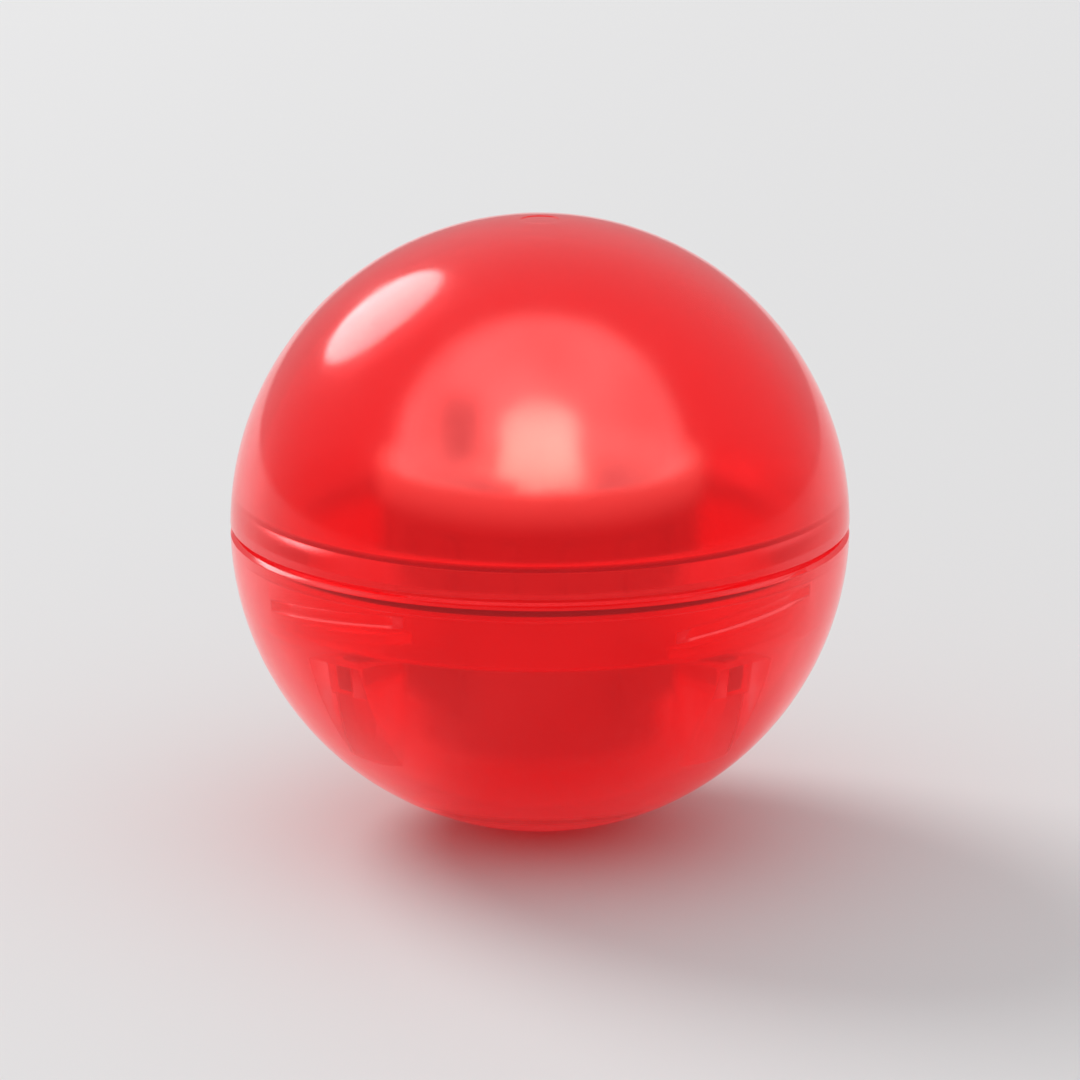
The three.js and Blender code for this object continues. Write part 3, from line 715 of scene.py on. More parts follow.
def embossed(material, pattern, depth, strength=0.3):
    """Lets a pattern raise and sink the surface by up to a depth."""
    sizes = {"Distance": depth, "Strength": strength}
    bump = step(material.node_tree, "ShaderNodeBump", Height=pattern, **sizes)
    shade(material, Normal=bump["Normal"])


# Clear red polycarbonate, polished outside, hazier within, with faint scuffs from play, and a faint
# painted red glow in its colour for the lamp's light scattered in the plastic
RED_SHELL = finish(
    "clear red shell",
    (0.78, 0.125, 0.13),
    0.1,
    Transmission_Weight=1.0,
    IOR=1.49,
    Specular_Tint=(1.0, 0.36, 0.36, 1),
    # Painted glow: a faint red emission that brightens the shell's colour
    Emission_Color=(1.0, 0.012, 0.02, 1),
    Emission_Strength=0.13,
)
scuffs = between(RED_SHELL, marks(RED_SHELL, 420, detail=6, stretch=(1, 1, 0.35)), 0.1, 0.16)
haze = by_distance(RED_SHELL, (0, 0, 0), (INNER_RADIUS, BALL_RADIUS), (INSIDE_HAZE, 0))
shade(RED_SHELL, Roughness=maths(RED_SHELL.node_tree, "ADD", scuffs, haze))

# Frosted plastic with a painted glow, uneven in clouds, that stands for the lamp's light through it
FROSTED = finish(
    "frosted dome",
    (0.80, 0.76, 0.74),
    0.22,
    Transmission_Weight=0.9,
    IOR=1.45,
    Emission_Color=(1.0, 1.0, 0.95, 1),
)
# Painted glow, its strength varied in clouds
shade(FROSTED, Emission_Strength=between(FROSTED, marks(FROSTED, 190), 0.15, 0.38))
embossed(FROSTED, marks(FROSTED, 5200, detail=2), 0.02 * MM)

# The lit lens, whitest at its core
LENS = finish(
    "lit lamp lens",
    (1.0, 0.9, 0.86),
    0.12,
    Transmission_Weight=0.85,
    IOR=1.5,
    Emission_Color=(1.0, 0.86, 0.70, 1),
)
shade(LENS, Emission_Strength=by_distance(LENS, (0, 0, CUP_BOTTOM), LENS_REACH, LENS_GLOW))


def white_plastic_finish(name):
    """Moulded white plastic with a fine satin grain."""
    material = finish(name, (0.84, 0.82, 0.77), 0.42, IOR=1.53)
    uneven(material, marks(material, 900, detail=4), 0.3, 0.52)
    tinted(material, marks(material, 160), (0.87, 0.85, 0.80), (0.78, 0.755, 0.70))
    embossed(material, marks(material, 6000, detail=2), 0.02 * MM, 0.5)
    return material


# White plastic, and the tray's, with a painted glow that grows towards the top of its rim, standing
# for the lamp's light through it
WHITE_PLASTIC = white_plastic_finish("white plastic")
PAINTED_GLOW_PLASTIC = white_plastic_finish("white plastic with painted glow")
span = (BOARD_BOTTOM, TRAY_TOP, 0, RIM_GLOW)
# Painted glow, stronger with height up to the rim's top
glow = by_height(PAINTED_GLOW_PLASTIC.node_tree, place_on(PAINTED_GLOW_PLASTIC), *span)
shade(PAINTED_GLOW_PLASTIC, Emission_Color=(1.0, 0.74, 0.62, 1), Emission_Strength=glow)

# Soft black rubber with a dusty bloom
RUBBER = finish("seal rubber", (0.02, 0.018, 0.018), 0.75)
bloom = marks(RUBBER, 700, detail=5)
tinted(RUBBER, bloom, (0.008, 0.007, 0.007), (0.03, 0.027, 0.027))
uneven(RUBBER, bloom, 0.6, 0.85)


def nickel_finish(name, rings):
    """Nickel-plated steel, with turning marks on round parts."""
    material = finish(name, (0.72, 0.70, 0.66), 0.25, 1.0)
    pattern = turning_marks(material, 5200) if rings else marks(material, 1500)
    uneven(material, pattern, 0.16, 0.36)
    embossed(material, pattern, 0.004 * MM, 0.35)
    return material


TURNED_NICKEL = nickel_finish("turned nickel", rings=True)
NICKEL = nickel_finish("plain nickel", rings=False)

# The dark spring steel of the motion switch
SPRING_STEEL = finish("dark spring steel", (0.045, 0.042, 0.04), 0.4, 1.0)
uneven(SPRING_STEEL, marks(SPRING_STEEL, 2600), 0.3, 0.5)

# The cells' dark gaskets
NYLON = finish("nylon gasket", (0.03, 0.05, 0.11), 0.5)
uneven(NYLON, marks(NYLON, 1800), 0.42, 0.62)

# Green solder mask over the weave of the board
BOARD = finish("solder mask", (0.015, 0.13, 0.05), 0.32, Coat_Weight=0.4)
tinted(BOARD, marks(BOARD, 300, detail=5), (0.012, 0.11, 0.042), (0.02, 0.16, 0.065))
embossed(BOARD, marks(BOARD, 3000, stretch=(1, 0.12, 1)), 0.01 * MM)

# Copper tracks under the mask
TRACK = finish("masked copper", (0.03, 0.21, 0.075), 0.3, Coat_Weight=0.4)
uneven(TRACK, marks(TRACK, 1200), 0.24, 0.4)

# Solder and tinned wire
TIN = finish("tinned metal", (0.66, 0.67, 0.69), 0.28, 1.0)
uneven(TIN, marks(TIN, 2600, detail=4), 0.18, 0.42)
embossed(TIN, marks(TIN, 1500), 0.02 * MM)

# The thin bond wire
GOLD = finish("gold wire", (0.95, 0.62, 0.2), 0.2, 1.0)
uneven(GOLD, marks(GOLD, 9000), 0.15, 0.3)

# The lit die
DIE = finish("lit die", (1.0, 0.7, 0.6), 0.3)
shade(DIE, Emission_Color=(1.0, 0.82, 0.7, 1), Emission_Strength=40)

# Black resin, glossy and slightly uneven
RESIN = finish("black resin", (0.012, 0.011, 0.012), 0.22, Coat_Weight=0.3)
uneven(RESIN, marks(RESIN, 1600, detail=4), 0.14, 0.36)
embossed(RESIN, marks(RESIN, 900), 0.03 * MM, 0.35)

# Fired tan ceramic
CERAMIC = finish("tan ceramic", (0.42, 0.29, 0.17), 0.5)
tone = marks(CERAMIC, 2400, detail=5)
tinted(CERAMIC, tone, (0.45, 0.32, 0.19), (0.36, 0.24, 0.13))
embossed(CERAMIC, tone, 0.02 * MM)


# The shells and the sealing ring

def upper_shell():
    """Half the ball, with the flange and the spigot that carries the lugs."""
    inner_start = degrees(asin((FLANGE_TOP + CORNER_ROUND) / INNER_RADIUS))
    flange_end = sqrt(INNER_RADIUS**2 - FLANGE_TOP**2) - CORNER_ROUND
    outline = [
        *arc(INNER_RADIUS, 90, inner_start, FINE_ARC),
        (flange_end, FLANGE_TOP), (SPIGOT_INNER + CORNER_ROUND, FLANGE_TOP),
        (SPIGOT_INNER, FLANGE_TOP - CORNER_ROUND), (SPIGOT_INNER, SPIGOT_BOTTOM),
        (SPIGOT_OUTER - RIB_SLOPE, SPIGOT_BOTTOM),
        (SPIGOT_OUTER, SPIGOT_BOTTOM + RIB_SLOPE), (SPIGOT_OUTER, SEAM_FACE),
        (BALL_RADIUS - SEAM_BEVEL, SEAM_FACE),
        *arc(BALL_RADIUS, SEAM_ANGLE, GATE_ANGLE, FINE_ARC),
        *arc(BALL_RADIUS - GATE_DEPTH, GATE_ANGLE, 90, GATE_ARC),
    ]
    shell = turned("upper_shell_clear", outline, CLEAR_EDGE, FINE_STEPS)
    root = SPIGOT_OUTER - RIB_ROOT
    lugs = thread_ribs("lugs", root, LUG_CREST, LUG_BOTTOM, RED_SHELL, **SHELL_THREAD)
    return combined(shell, [lugs])


def lower_shell():
    """The other half, with its threaded mouth, its socket ring and four brackets."""
    inner_end = -degrees(acos(MOUTH_RADIUS / INNER_RADIUS))
    outline = [
        *arc(BALL_RADIUS - GATE_DEPTH, -90, -GATE_ANGLE, GATE_ARC),
        *arc(BALL_RADIUS, -GATE_ANGLE, -SEAM_ANGLE, FINE_ARC),
        (BALL_RADIUS - SEAM_BEVEL, -SEAM_FACE), (POCKET_RADIUS, -SEAM_FACE),
        (POCKET_RADIUS, POCKET_FLOOR), (MOUTH_RADIUS, POCKET_FLOOR),
        *arc(INNER_RADIUS, inner_end, -90, FINE_ARC),
    ]
    shell = turned("lower_shell_clear", outline, CLEAR_EDGE, FINE_STEPS)
    inner = TUBE_OUTER + LOOSE_GAP
    section = band(inner, inner + SOCKET_WALL, -BALL_RADIUS, TUBE_FOOT + SOCKET_TOP)
    socket = turned("socket", section)
    half_slot = ARM_THICKNESS / 2 + LOOSE_GAP
    half = half_slot + BRACKET_CHEEK
    top = ARM_TOP - BRACKET_STEP
    foot = top - BRACKET_DEPTH
    bracket_end = (BALL_RADIUS, half, top)
    bracket = block("brackets", (BRACKET_INNER, -half, foot), bracket_end, MOULDED_EDGE)
    slot = block(
        "slot",
        (BRACKET_INNER - OVERCUT, -half_slot, ARM_BOTTOM - LOOSE_GAP),
        (ARM_END + LOOSE_GAP, half_slot, top + OVERCUT),
    )
    combined(bracket, [slot], "DIFFERENCE")
    brackets = ringed(bracket, ARM_COUNT, ARM_ANGLE, RED_SHELL)
    core = turned("core", arc(BALL_RADIUS - SHELL_WALL / 2, -90, 90, FINE_ARC))
    inside = combined(combined(socket, [brackets]), [core], "INTERSECT")
    root = MOUTH_RADIUS + RIB_ROOT
    ribs = thread_ribs("ribs", root, LOWER_CREST, LOWER_RIB_BOTTOM, RED_SHELL, **SHELL_THREAD)
    return combined(shell, [inside, ribs])


def seal_ring():
    """The rubber ring, with the fine flash line that its mould leaves."""
    middle = (SPIGOT_OUTER + POCKET_RADIUS) / 2
    height = (SEAM_FACE + POCKET_FLOOR) / 2
    outline = []
    for i in range(SEAL_STEPS):
        angle = tau * i / SEAL_STEPS
        flash = SEAL_FLASH if i in (0, SEAL_STEPS // 2) else 0
        reach = SEAL_RADIUS - SEAL_FLASH + flash
        outline.append((middle + reach * cos(angle), height + reach * sin(angle)))
    return turned("seal_ring_round", outline, HAIR_EDGE, FINE_STEPS)


# The battery tube, the contact and the cells

def battery_tube():
    """The tube with its groove, its arms and the ribs for the light head."""
    floor_top = TUBE_FOOT + TUBE_FLOOR
    outline = [
        (0, TUBE_FOOT), (TUBE_OUTER - TUBE_FOOT_BEVEL, TUBE_FOOT),
        (TUBE_OUTER, TUBE_FOOT + TUBE_FOOT_BEVEL), (TUBE_OUTER, TUBE_TOP),
        (TUBE_INNER, TUBE_TOP), (TUBE_INNER, floor_top),
        (0, floor_top),
    ]
    tube = turned("battery_tube_moulded", outline)
    half = GROOVE_WIDTH / 2
    groove_end = (half, TUBE_INNER + GROOVE_DEPTH, TUBE_TOP + OVERCUT)
    groove = block("groove", (-half, 0, floor_top), groove_end)
    combined(tube, [groove], "DIFFERENCE")
    root = TUBE_OUTER - RIB_ROOT
    outline = [
        (root, ARM_TOP), (root, ARM_BOTTOM - ARM_GUSSET),
        (BRACKET_INNER - LOOSE_GAP, ARM_BOTTOM), (ARM_END, ARM_BOTTOM),
        (ARM_END, ARM_TOP),
    ]
    arm = prism("arms", outline, ARM_THICKNESS, MOULDED_EDGE)
    arms = ringed(arm, ARM_COUNT, ARM_ANGLE, WHITE_PLASTIC)
    ribs = thread_ribs("tube ribs", root, TUBE_CREST, TUBE_RIB_BOTTOM, WHITE_PLASTIC, **HEAD_THREAD)
    return combined(tube, [arms, ribs])


def positive_contact():
    """A pressed strip: a round plate, a riser in the groove and a tab under the board."""
    low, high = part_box("positive_contact")
    plate_top = low.z + CONTACT_THICKNESS
    section = band(0, CELL_RADIUS - CELL_BEVEL, low.z, plate_top)
    plate = turned("positive_contact_pressed", section, FINE_EDGE)
    inner = high.y - CONTACT_THICKNESS
    tab_end = inner - CONTACT_TAB
    tab_bottom = high.z - CONTACT_THICKNESS
    strip = [
        (0, low.z), (high.y, low.z),
        (high.y, high.z), (tab_end, high.z),
        (tab_end, tab_bottom), (inner, tab_bottom),
        (inner, plate_top), (0, plate_top),
    ]
    bent = softened(strip, CONTACT_BEND, closed=True, steps=BEND_STEPS)
    riser = prism("riser", bent, GROOVE_WIDTH - 2 * LOOSE_GAP)
    return combined(plate, [swung(riser, pi / 2)])


def cell_can(name):
    """A cell's can with its rolled lip."""
    side = CELL_RADIUS - CELL_BEVEL
    floor = CAN_TOP - CAP_DEPTH
    outline = [
        (0, 0), (side, 0),
        (CELL_RADIUS, CELL_BEVEL), (CELL_RADIUS, CAN_TOP - CELL_BEVEL),
        (side, CAN_TOP), (LIP_RADIUS, CAN_TOP),
        (LIP_RADIUS, floor), (0, floor),
    ]
    return turned(name, outline, CAN_EDGE)


def cell_gasket(name):
    """The nylon ring between can and cap."""
    outer = LIP_RADIUS - SEAT_GAP
    return turned(name, band(outer - GASKET_WALL, outer, CAP_FOOT, CAN_TOP), FINE_EDGE)


def cell_cap(name):
    """A cell's cap, its face dished a little inside a raised rim."""
    radius = LIP_RADIUS - GASKET_WALL - 2 * SEAT_GAP
    outline = [
        (0, CAP_FOOT), (radius, CAP_FOOT),
        (radius, CELL_HEIGHT - CAP_BEVEL),
        (radius - CAP_BEVEL, CELL_HEIGHT), (radius - CAP_RIM_END, CELL_HEIGHT),
        (radius - CAP_DISH_START, CELL_HEIGHT - CAP_DISH), (0, CELL_HEIGHT - CAP_DISH),
    ]
    return turned(name, outline, CAP_EDGE)


# The tray, the dome and the board

def board_tray():
    """The tray: ledge, rim with its snap groove, skirt, grips, keys and thread ribs."""
    groove_half = SNAP_HEIGHT / 2 + SNAP_ROOM
    flange_top = FLANGE_BOTTOM + TRAY_FLANGE
    ledge = TUBE_OUTER - TRAY_LEDGE
    outline = [
        (SKIRT_INNER, SKIRT_BOTTOM), (SKIRT_OUTER, SKIRT_BOTTOM),
        (SKIRT_OUTER, FLANGE_BOTTOM),
        (TRAY_RIM_OUTER, FLANGE_BOTTOM + TRAY_RIM_OUTER - SKIRT_OUTER),
        (TRAY_RIM_OUTER, TRAY_TOP), (TRAY_RIM, TRAY_TOP),
        (TRAY_RIM, SNAP_MIDDLE + groove_half),
        (TRAY_RIM + SNAP_PROUD - SEAT_GAP, SNAP_MIDDLE),
        (TRAY_RIM, SNAP_MIDDLE - groove_half), (TRAY_RIM, flange_top),
        (ledge, flange_top), (ledge, FLANGE_BOTTOM),
        (SKIRT_INNER, FLANGE_BOTTOM),
    ]
    tray = turned("board_tray_moulded", outline)
    grip = block(
        "grips",
        (SKIRT_OUTER - RIB_ROOT, -GRIP_WIDTH / 2, SKIRT_BOTTOM + LOOSE_GAP),
        (SKIRT_OUTER + GRIP_PROUD, GRIP_WIDTH / 2, FLANGE_BOTTOM),
        MOULDED_EDGE,
    )
    grips = ringed(grip, GRIP_RIBS, pi / GRIP_RIBS, PAINTED_GLOW_PLASTIC)
    key = block(
        "keys",
        (BOARD_RADIUS - KEY_DEPTH + LOOSE_GAP, -KEY_WIDTH / 2, FLANGE_BOTTOM),
        (TRAY_RIM + RIB_ROOT, KEY_WIDTH / 2, BOARD_TOP - SEAT_GAP),
    )
    keys = ringed(key, KEY_COUNT, KEY_ANGLE, PAINTED_GLOW_PLASTIC)
    root = SKIRT_INNER + RIB_ROOT
    ribs = thread_ribs("tray ribs", root, TRAY_CREST, TRAY_RIB_BOTTOM, PAINTED_GLOW_PLASTIC, **HEAD_THREAD)
    return combined(tray, [grips, keys, ribs])


def diffuser_dome():
    """The frosted dome with its snap bead."""
    half = SNAP_HEIGHT / 2
    outline = [
        *arc(DOME_INNER, 90, 0, ROUND_ARC, DOME_CENTRE),
        (DOME_INNER, PARTS_FLOOR), (BOARD_RADIUS, PARTS_FLOOR),
        (BOARD_RADIUS, SNAP_MIDDLE - half),
        (BOARD_RADIUS + SNAP_PROUD, SNAP_MIDDLE),
        (BOARD_RADIUS, SNAP_MIDDLE + half),
        *arc(BOARD_RADIUS, 0, 90, ROUND_ARC, DOME_CENTRE),
    ]
    return turned("diffuser_dome_frosted", outline, CLEAR_EDGE)


def circuit_board():
    """The board with its notches and drilled holes."""
    section = band(0, BOARD_RADIUS, BOARD_BOTTOM, BOARD_TOP)
    board = turned("circuit_board_milled", section, FINE_EDGE)
    low = BOARD_BOTTOM - OVERCUT
    high = BOARD_TOP + OVERCUT
    half = KEY_WIDTH / 2 + LOOSE_GAP
    notch_start = (BOARD_RADIUS - KEY_DEPTH, -half, low)
    notch = block("notches", notch_start, (BOARD_RADIUS + OVERCUT, half, high))
    cutters = [ringed(notch, KEY_COUNT, KEY_ANGLE, BOARD)]
    for x, radius in HOLES:
        drill = turned("drill", band(0, radius, low, high), FINE_EDGE, SMALL_STEPS)
        cutters.append(shifted(drill, x, 0, 0))
    return combined(board, cutters, "DIFFERENCE")


def solder_joints():
    """Small cones of solder round the leads under the board."""
    cones = []
    low = BOARD_BOTTOM - JOINT_HEIGHT
    top = BOARD_BOTTOM - JOINT_LIFT
    for x, hole in HOLES:
        outline = [
            (hole, low),
            (hole + JOINT_TIP, low),
            (PAD_RADIUS * JOINT_WAIST, BOARD_BOTTOM - JOINT_FILLET),
            (PAD_RADIUS, top),
            (hole, top),
        ]
        cone = turned("solder_joints", outline, FINE_EDGE, SMALL_STEPS)
        cones.append(shifted(cone, x, 0, 0))
    return combined(cones[0], cones[1:])


def ring_angle(node):
    """The direction of a part on the board, seen from the lamp."""
    low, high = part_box(node)
    middle = (low + high) / 2
    return atan2(middle.y, middle.x)


def board_tracks():
    """Copper tracks on the board: a hoop inside the dome's foot with a spur to each part."""
    ring = DOME_INNER - TRACK_INSET
    bottom = BOARD_TOP + TRACK_LIFT
    top = bottom + TRACK_THICKNESS
    hoop = turned("board_tracks", band(ring - TRACK_WIDTH, ring, bottom, top), HAIR_EDGE)
    half = TRACK_WIDTH / 2
    start = LAMP_RADIUS + LAMP_FLANGE + TRACK_START
    spurs = []
    for node in BOARD_PARTS:
        spur = block("spur", (start, -half, bottom), (ring - half, half, top), HAIR_EDGE)
        spurs.append(swung(spur, ring_angle(node)))
    return combined(hoop, spurs)


# The lamp

def lamp_lens():
    """The lens: a low body with a flange and a rounded crown."""
    hollow = LAMP_RADIUS - LAMP_WALL
    flange = LAMP_RADIUS + LAMP_FLANGE
    outline = [
        (0, LAMP_BODY - LAMP_WALL), (hollow - LAMP_WALL, LAMP_BODY - LAMP_WALL),
        (hollow, LAMP_BODY - 2 * LAMP_WALL), (hollow, 0),
        (flange, 0), (flange, LAMP_FLANGE_HEIGHT),
        (LAMP_RADIUS, LAMP_FLANGE_HEIGHT),
        *crown(LAMP_RADIUS, LAMP_CROWN, LAMP_BODY + LAMP_CROWN),
    ]
    return shifted(turned("lamp_lens_clear", outline, LENS_EDGE, LENS_STEPS), 0, 0, PARTS_FLOOR)


def lamp_cathode():
    """The leg whose cup holds the die."""
    half = LEG_SIZE / 2
    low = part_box("lamp_cathode")[0]
    leg_end = (low.x + LEG_SIZE, half, CUP_BOTTOM)
    leg = block("lamp_cathode_pressed", (low.x, -half, low.z), leg_end)
    shoulder_end = (CUP_WALL, half, CUP_BOTTOM + SEAT_GAP)
    shoulder = block("shoulder", (low.x, -half, SHOULDER), shoulder_end)
    outline = [
        (0, CUP_BOTTOM), (CUP_RADIUS - CUP_WALL, CUP_BOTTOM),
        (CUP_RADIUS, CUP_BOTTOM + CUP_HEIGHT),
        (CUP_RADIUS - CUP_WALL / 2, CUP_BOTTOM + CUP_HEIGHT),
        (CUP_FLOOR_RADIUS, CUP_BOTTOM + CUP_WALL), (0, CUP_BOTTOM + CUP_WALL),
    ]
    return combined(leg, [shoulder, turned("cup", outline, FINE_EDGE, SMALL_STEPS)])


def lamp_anode():
    """The plain leg, with the slimmer post that the bond wire runs to."""
    half = LEG_SIZE / 2
    low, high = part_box("lamp_anode")
    leg_end = (high.x, half, SHOULDER)
    leg = block("lamp_anode_pressed", (low.x, -half, low.z), leg_end)
    post_start = (low.x + half / 2, -half, SHOULDER - SEAT_GAP)
    return combined(leg, [block("post", post_start, (high.x, half, high.z))])


def lamp_die():
    """The die, a bevelled chip."""
    return block("lamp_die_cut", *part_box("lamp_die"), DIE_EDGE)


def bond_wire():
    """The thin arched wire from the die to the post."""
    die_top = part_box("lamp_die")[1].z
    low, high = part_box("lamp_anode")
    end = Vector((low.x + LEG_SIZE / 2, 0, high.z + BOND_WIRE))
    start = Vector((0, 0, die_top + BOND_WIRE))
    curve = bpy.data.curves.new("lamp_bond_wire", "CURVE")
    curve.dimensions = "3D"
    curve.bevel_depth = BOND_WIRE
    curve.bevel_resolution = 3
    curve.use_fill_caps = True
    spline = curve.splines.new("POLY")
    spline.points.add(BOND_STEPS)
    for i, point in enumerate(spline.points):
        share = i / BOND_STEPS
        spot = start.lerp(end, share)
        spot.z += BOND_ARCH * sin(pi * share)
        point.co = (*spot, 1)
    drawn = in_scene("drawn wire", curve)
    mesh = final_mesh(drawn)
    bpy.data.objects.remove(drawn)
    return in_scene("lamp_bond_wire", mesh)


# The motion switch

def switch_base():
    """The base, a moulded disc with a boss round the pin."""
    low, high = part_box("switch_base")
    radius = (high.x - low.x) / 2
    boss = PIN_HOLE + BOSS_WALL
    boss_top = BASE_HEIGHT + BOSS_HEIGHT
    outline = [
        (PIN_HOLE, 0), (radius, 0),
        (radius, BASE_HEIGHT), (boss, BASE_HEIGHT),
        (boss, boss_top), (PIN_HOLE, boss_top),
    ]
    base = turned("switch_base_moulded", outline, BASE_EDGE, BASE_STEPS)
    return shifted(base, SWITCH_X, 0, low.z)


def switch_pin():
    """The pin, with rounded ends."""
    low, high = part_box("switch_pin")
    section = band(0, PIN_RADIUS, low.z, high.z)
    return shifted(turned("switch_pin_drawn", section, PIN_EDGE, PIN_STEPS), SWITCH_X, 0, 0)


def switch_coil():
    """The fine coil that sways round the pin."""
    sizes = (COIL_TURNS, COIL_RADIUS, COIL_RADIUS, COIL_WIRE)
    return shifted(wire_coil("switch_coil", *sizes, SPRING_STEEL), SWITCH_X, 0, 0)


# The parts round the lamp, each made at the origin

def chip_resin():
    """The drop of resin over the chip, its foot spread unevenly."""
    outline = [(0, 0), *crown(CHIP_RADIUS, CHIP_HEIGHT, CHIP_HEIGHT)]
    drop = turned("chip_resin_drop", outline, RIB_EDGE, DROP_STEPS)
    for point in drop.data.vertices:
        angle = atan2(point.co.y, point.co.x)
        wave = sum(size * sin(count * angle + start) for size, count, start in DROP_WAVES)
        share = DROP_SHARE + wave * (1 - point.co.z / CHIP_HEIGHT)
        point.co.x *= share
        point.co.y *= share
    return drop


def joined(parts):
    """Several pieces as one object, each with its own material."""
    pieces = [piece for piece, material in parts]
    for piece, material in parts:
        piece.data.materials.append(material)
    with bpy.context.temp_override(
        active_object=pieces[0], selected_editable_objects=pieces, object=pieces[0]
    ):
        bpy.ops.object.join()
    return pieces[0]


def capped_chip(name, size, material):
    """A small block part with a wrapped metal end at each side."""
    length, width, height = size
    end = length * END_CAP_SHARE
    half = length / 2 - end * END_CAP_OVERLAP
    side = width / 2 - BODY_SLIM
    body = block(name, (-half, -side, BODY_SLIM), (half, side, height - BODY_SLIM), CHIP_EDGE)
    parts = [(body, material)]
    for way in (-1, 1):
        left, right = sorted((way * length / 2, way * (length / 2 - end)))
        cap = block("end", (left, -width / 2, 0), (right, width / 2, height), END_CAP_EDGE)
        parts.append((cap, TIN))
    return joined(parts)


def transistor():
    """A small three-legged transistor: a bevelled body and bent leads."""
    length, width, height = TRANSISTOR_SIZE
    half = length / 2
    level = height * LEAD_LEVEL
    outline = [
        (-half + TRANSISTOR_DRAFT, TRANSISTOR_LIFT), (half - TRANSISTOR_DRAFT, TRANSISTOR_LIFT),
        (half, level),
        (half - TRANSISTOR_DRAFT, height), (-half + TRANSISTOR_DRAFT, height),
        (-half, level),
    ]
    parts = [(prism("transistor_packaged", outline, width), RESIN)]
    root = width / 2 - LEAD_ROOT
    first, second, third = (width / 2 + LEAD_REACH * share for share in LEAD_BENDS)
    tip = width / 2 + LEAD_REACH
    lead_outline = [
        (root, level), (second, level),
        (third, LEAD_THICKNESS), (tip, LEAD_THICKNESS),
        (tip, 0), (second, 0),
        (first, level - LEAD_THICKNESS), (root, level - LEAD_THICKNESS),
    ]
    lead_outline = softened(lead_outline, LEAD_ROUND, closed=True)
    for x, side in ((-length / 3, -1), (length / 3, -1), (0, 1)):
        lead = swung(prism("lead", lead_outline, LEAD_WIDTH, LEAD_EDGE), side * pi / 2)
        parts.append((shifted(lead, x, 0, 0), TIN))
    return joined(parts)


# Everything in its place

BASE_BODY = "lower_shell_set"
HEAD_BODY = "light_head"


def place_piece(piece, material, body, slot, *nodes):
    """Finishes a piece: its material, its shading, and the body and nodes it stands for."""
    if material is not None:
        piece.data.materials.clear()
        piece.data.materials.append(material)
        for face in piece.data.polygons:
            face.material_index = 0
    shape = bmesh.new()
    shape.from_mesh(piece.data)
    for face in shape.faces:
        face.smooth = True
    for line in shape.edges:
        line.smooth = line.is_manifold and line.calc_face_angle(0) < SHARP
    shape.to_mesh(piece.data)
    shape.free()
    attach(piece, body)
    if nodes:
        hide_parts(*nodes)


def place_on_board(piece, material, slot, node):
    """Finishes a part made at the origin, turned and set where its node is."""
    low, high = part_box(node)
    middle = (low + high) / 2
    turn = Matrix.Rotation(ring_angle(node) + pi / 2, 4, "Z")
    moved(piece, Matrix.Translation((middle.x, middle.y, low.z)) @ turn)
    place_piece(piece, material, HEAD_BODY, slot, node)


place_piece(upper_shell(), RED_SHELL, "upper_shell_set", "red_shell", "upper_shell")
place_piece(lower_shell(), RED_SHELL, BASE_BODY, "red_shell", "lower_shell")
place_piece(seal_ring(), RUBBER, "sealing_ring", "seal_rubber", "seal_ring")
place_piece(battery_tube(), WHITE_PLASTIC, BASE_BODY, "white_plastic", "battery_tube")
place_piece(positive_contact(), NICKEL, BASE_BODY, "nickel", "positive_contact")

CELL_PARTS = (
    (cell_can, "can", "drawn", TURNED_NICKEL, "nickel"),
    (cell_gasket, "gasket", "moulded", NYLON, "nylon"),
    (cell_cap, "cap", "drawn", TURNED_NICKEL, "nickel"),
)
for position in ("lower", "middle", "upper"):
    cell_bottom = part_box(f"{position}_cell_can")[0].z
    for make, part, ending, material, slot in CELL_PARTS:
        node = f"{position}_cell_{part}"
        piece = shifted(make(f"{node}_{ending}"), 0, 0, cell_bottom)
        place_piece(piece, material, BASE_BODY, slot, node)

spring_node = "negative_contact_spring"
spring_sizes = (SPRING_TURNS, SPRING_FOOT, SPRING_TOP, SPRING_WIRE)
spring = wire_coil(spring_node, *spring_sizes, NICKEL)
place_piece(spring, NICKEL, "battery_spring", "nickel", spring_node)

HEAD_PIECES = (
    (board_tray, PAINTED_GLOW_PLASTIC, "white_plastic", "board_tray"),
    (diffuser_dome, FROSTED, "frosted", "diffuser_dome"),
    (circuit_board, BOARD, "board", "circuit_board"),
    (board_tracks, TRACK, "board"),
    (solder_joints, TIN, "tin"),
    (lamp_lens, LENS, "lens", "lamp_lens"),
    (lamp_cathode, TIN, "tin", "lamp_cathode"),
    (lamp_anode, TIN, "tin", "lamp_anode"),
    (lamp_die, DIE, "glow", "lamp_die"),
    (bond_wire, GOLD, "tin"),
    (switch_base, WHITE_PLASTIC, "white_plastic", "switch_base"),
    (switch_pin, SPRING_STEEL, "tin", "switch_pin"),
)
for make, material, slot, *nodes in HEAD_PIECES:
    place_piece(make(), material, HEAD_BODY, slot, *nodes)
place_piece(switch_coil(), SPRING_STEEL, "sway_coil", "nickel", "switch_coil")

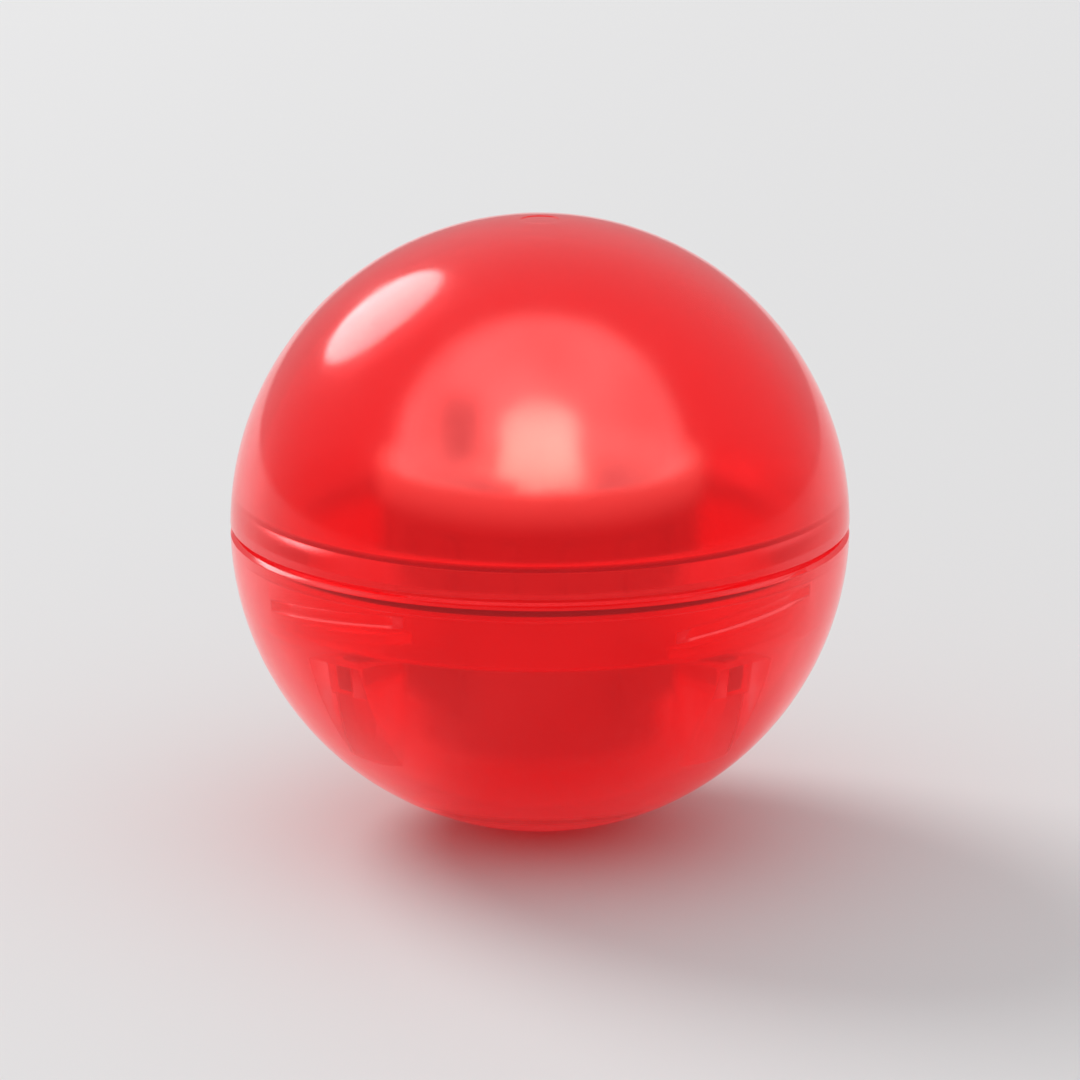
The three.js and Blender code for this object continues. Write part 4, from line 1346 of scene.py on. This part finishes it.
place_on_board(chip_resin(), RESIN, "resin", "chip_resin")
for node in ("lamp_resistor", "timer_resistor"):
    resistor = capped_chip(f"{node}_capped", RESISTOR_SIZE, RESIN)
    place_on_board(resistor, None, "resin", node)
capacitor = capped_chip("capacitor_capped", CAPACITOR_SIZE, CERAMIC)
place_on_board(capacitor, None, "ceramic", "capacitor")
place_on_board(transistor(), None, "resin", "transistor")


# The studio: a pale floor, one soft lamp, a pale world and the camera

FLOOR_REACH = 3
FLOOR_COLOR = (0.80, 0.795, 0.785)
LAMP_PLACE = (-1.2, 1.25, 1.3)
LAMP_SIZE = 1.1
LAMP_POWER = 23
WORLD_COLOR = (0.97, 0.975, 1.0)
WORLD_LEVELS = (0.35, 0.85)
CAMERA_ELEVATION = radians(15)
CAMERA_DISTANCE = 0.34
CAMERA_LENS = 175
AIM_HEIGHT = -1.2 * MM


def aimed(thing, away, aim=(0, 0, 0)):
    """Puts a lamp or the camera some way from a point that it looks at."""
    thing.location = away + Vector(aim)
    thing.rotation_euler = (-away).to_track_quat("-Z", "Y").to_euler()
    return thing


# A plain pale floor under the ball
sides = (-FLOOR_REACH, FLOOR_REACH)
corners = [(x, y, -BALL_RADIUS) for x, y in band(*sides, *sides)]
floor = mesh_piece("floor", corners, [[0, 1, 2, 3]])
floor.data.materials.append(finish("pale floor", FLOOR_COLOR, 0.6))

# A large round lamp that looks at the ball
lamp = bpy.data.lights.new("key", "AREA")
lamp.shape = "DISK"
lamp.size = LAMP_SIZE
lamp.energy = LAMP_POWER
aimed(in_scene("key", lamp), Vector(LAMP_PLACE))

# A pale surround that is brighter overhead, as under a large cloth
world = bpy.data.worlds.new("studio")
world.use_nodes = True
tree = world.node_tree
overhead = by_height(tree, step(tree, "ShaderNodeTexCoord")["Generated"], 0, 1, *WORLD_LEVELS)
fill(tree.nodes["Background"], Color=(*WORLD_COLOR, 1), Strength=overhead)
bpy.context.scene.world = world

# The camera, from the photograph's side and at its height
lens = bpy.data.cameras.new("camera")
lens.lens = CAMERA_LENS
away = Vector((0, -cos(CAMERA_ELEVATION), sin(CAMERA_ELEVATION))) * CAMERA_DISTANCE
bpy.context.scene.camera = aimed(in_scene("camera", lens), away, (0, 0, AIM_HEIGHT))
bpy.context.scene.view_settings.view_transform = "Standard"
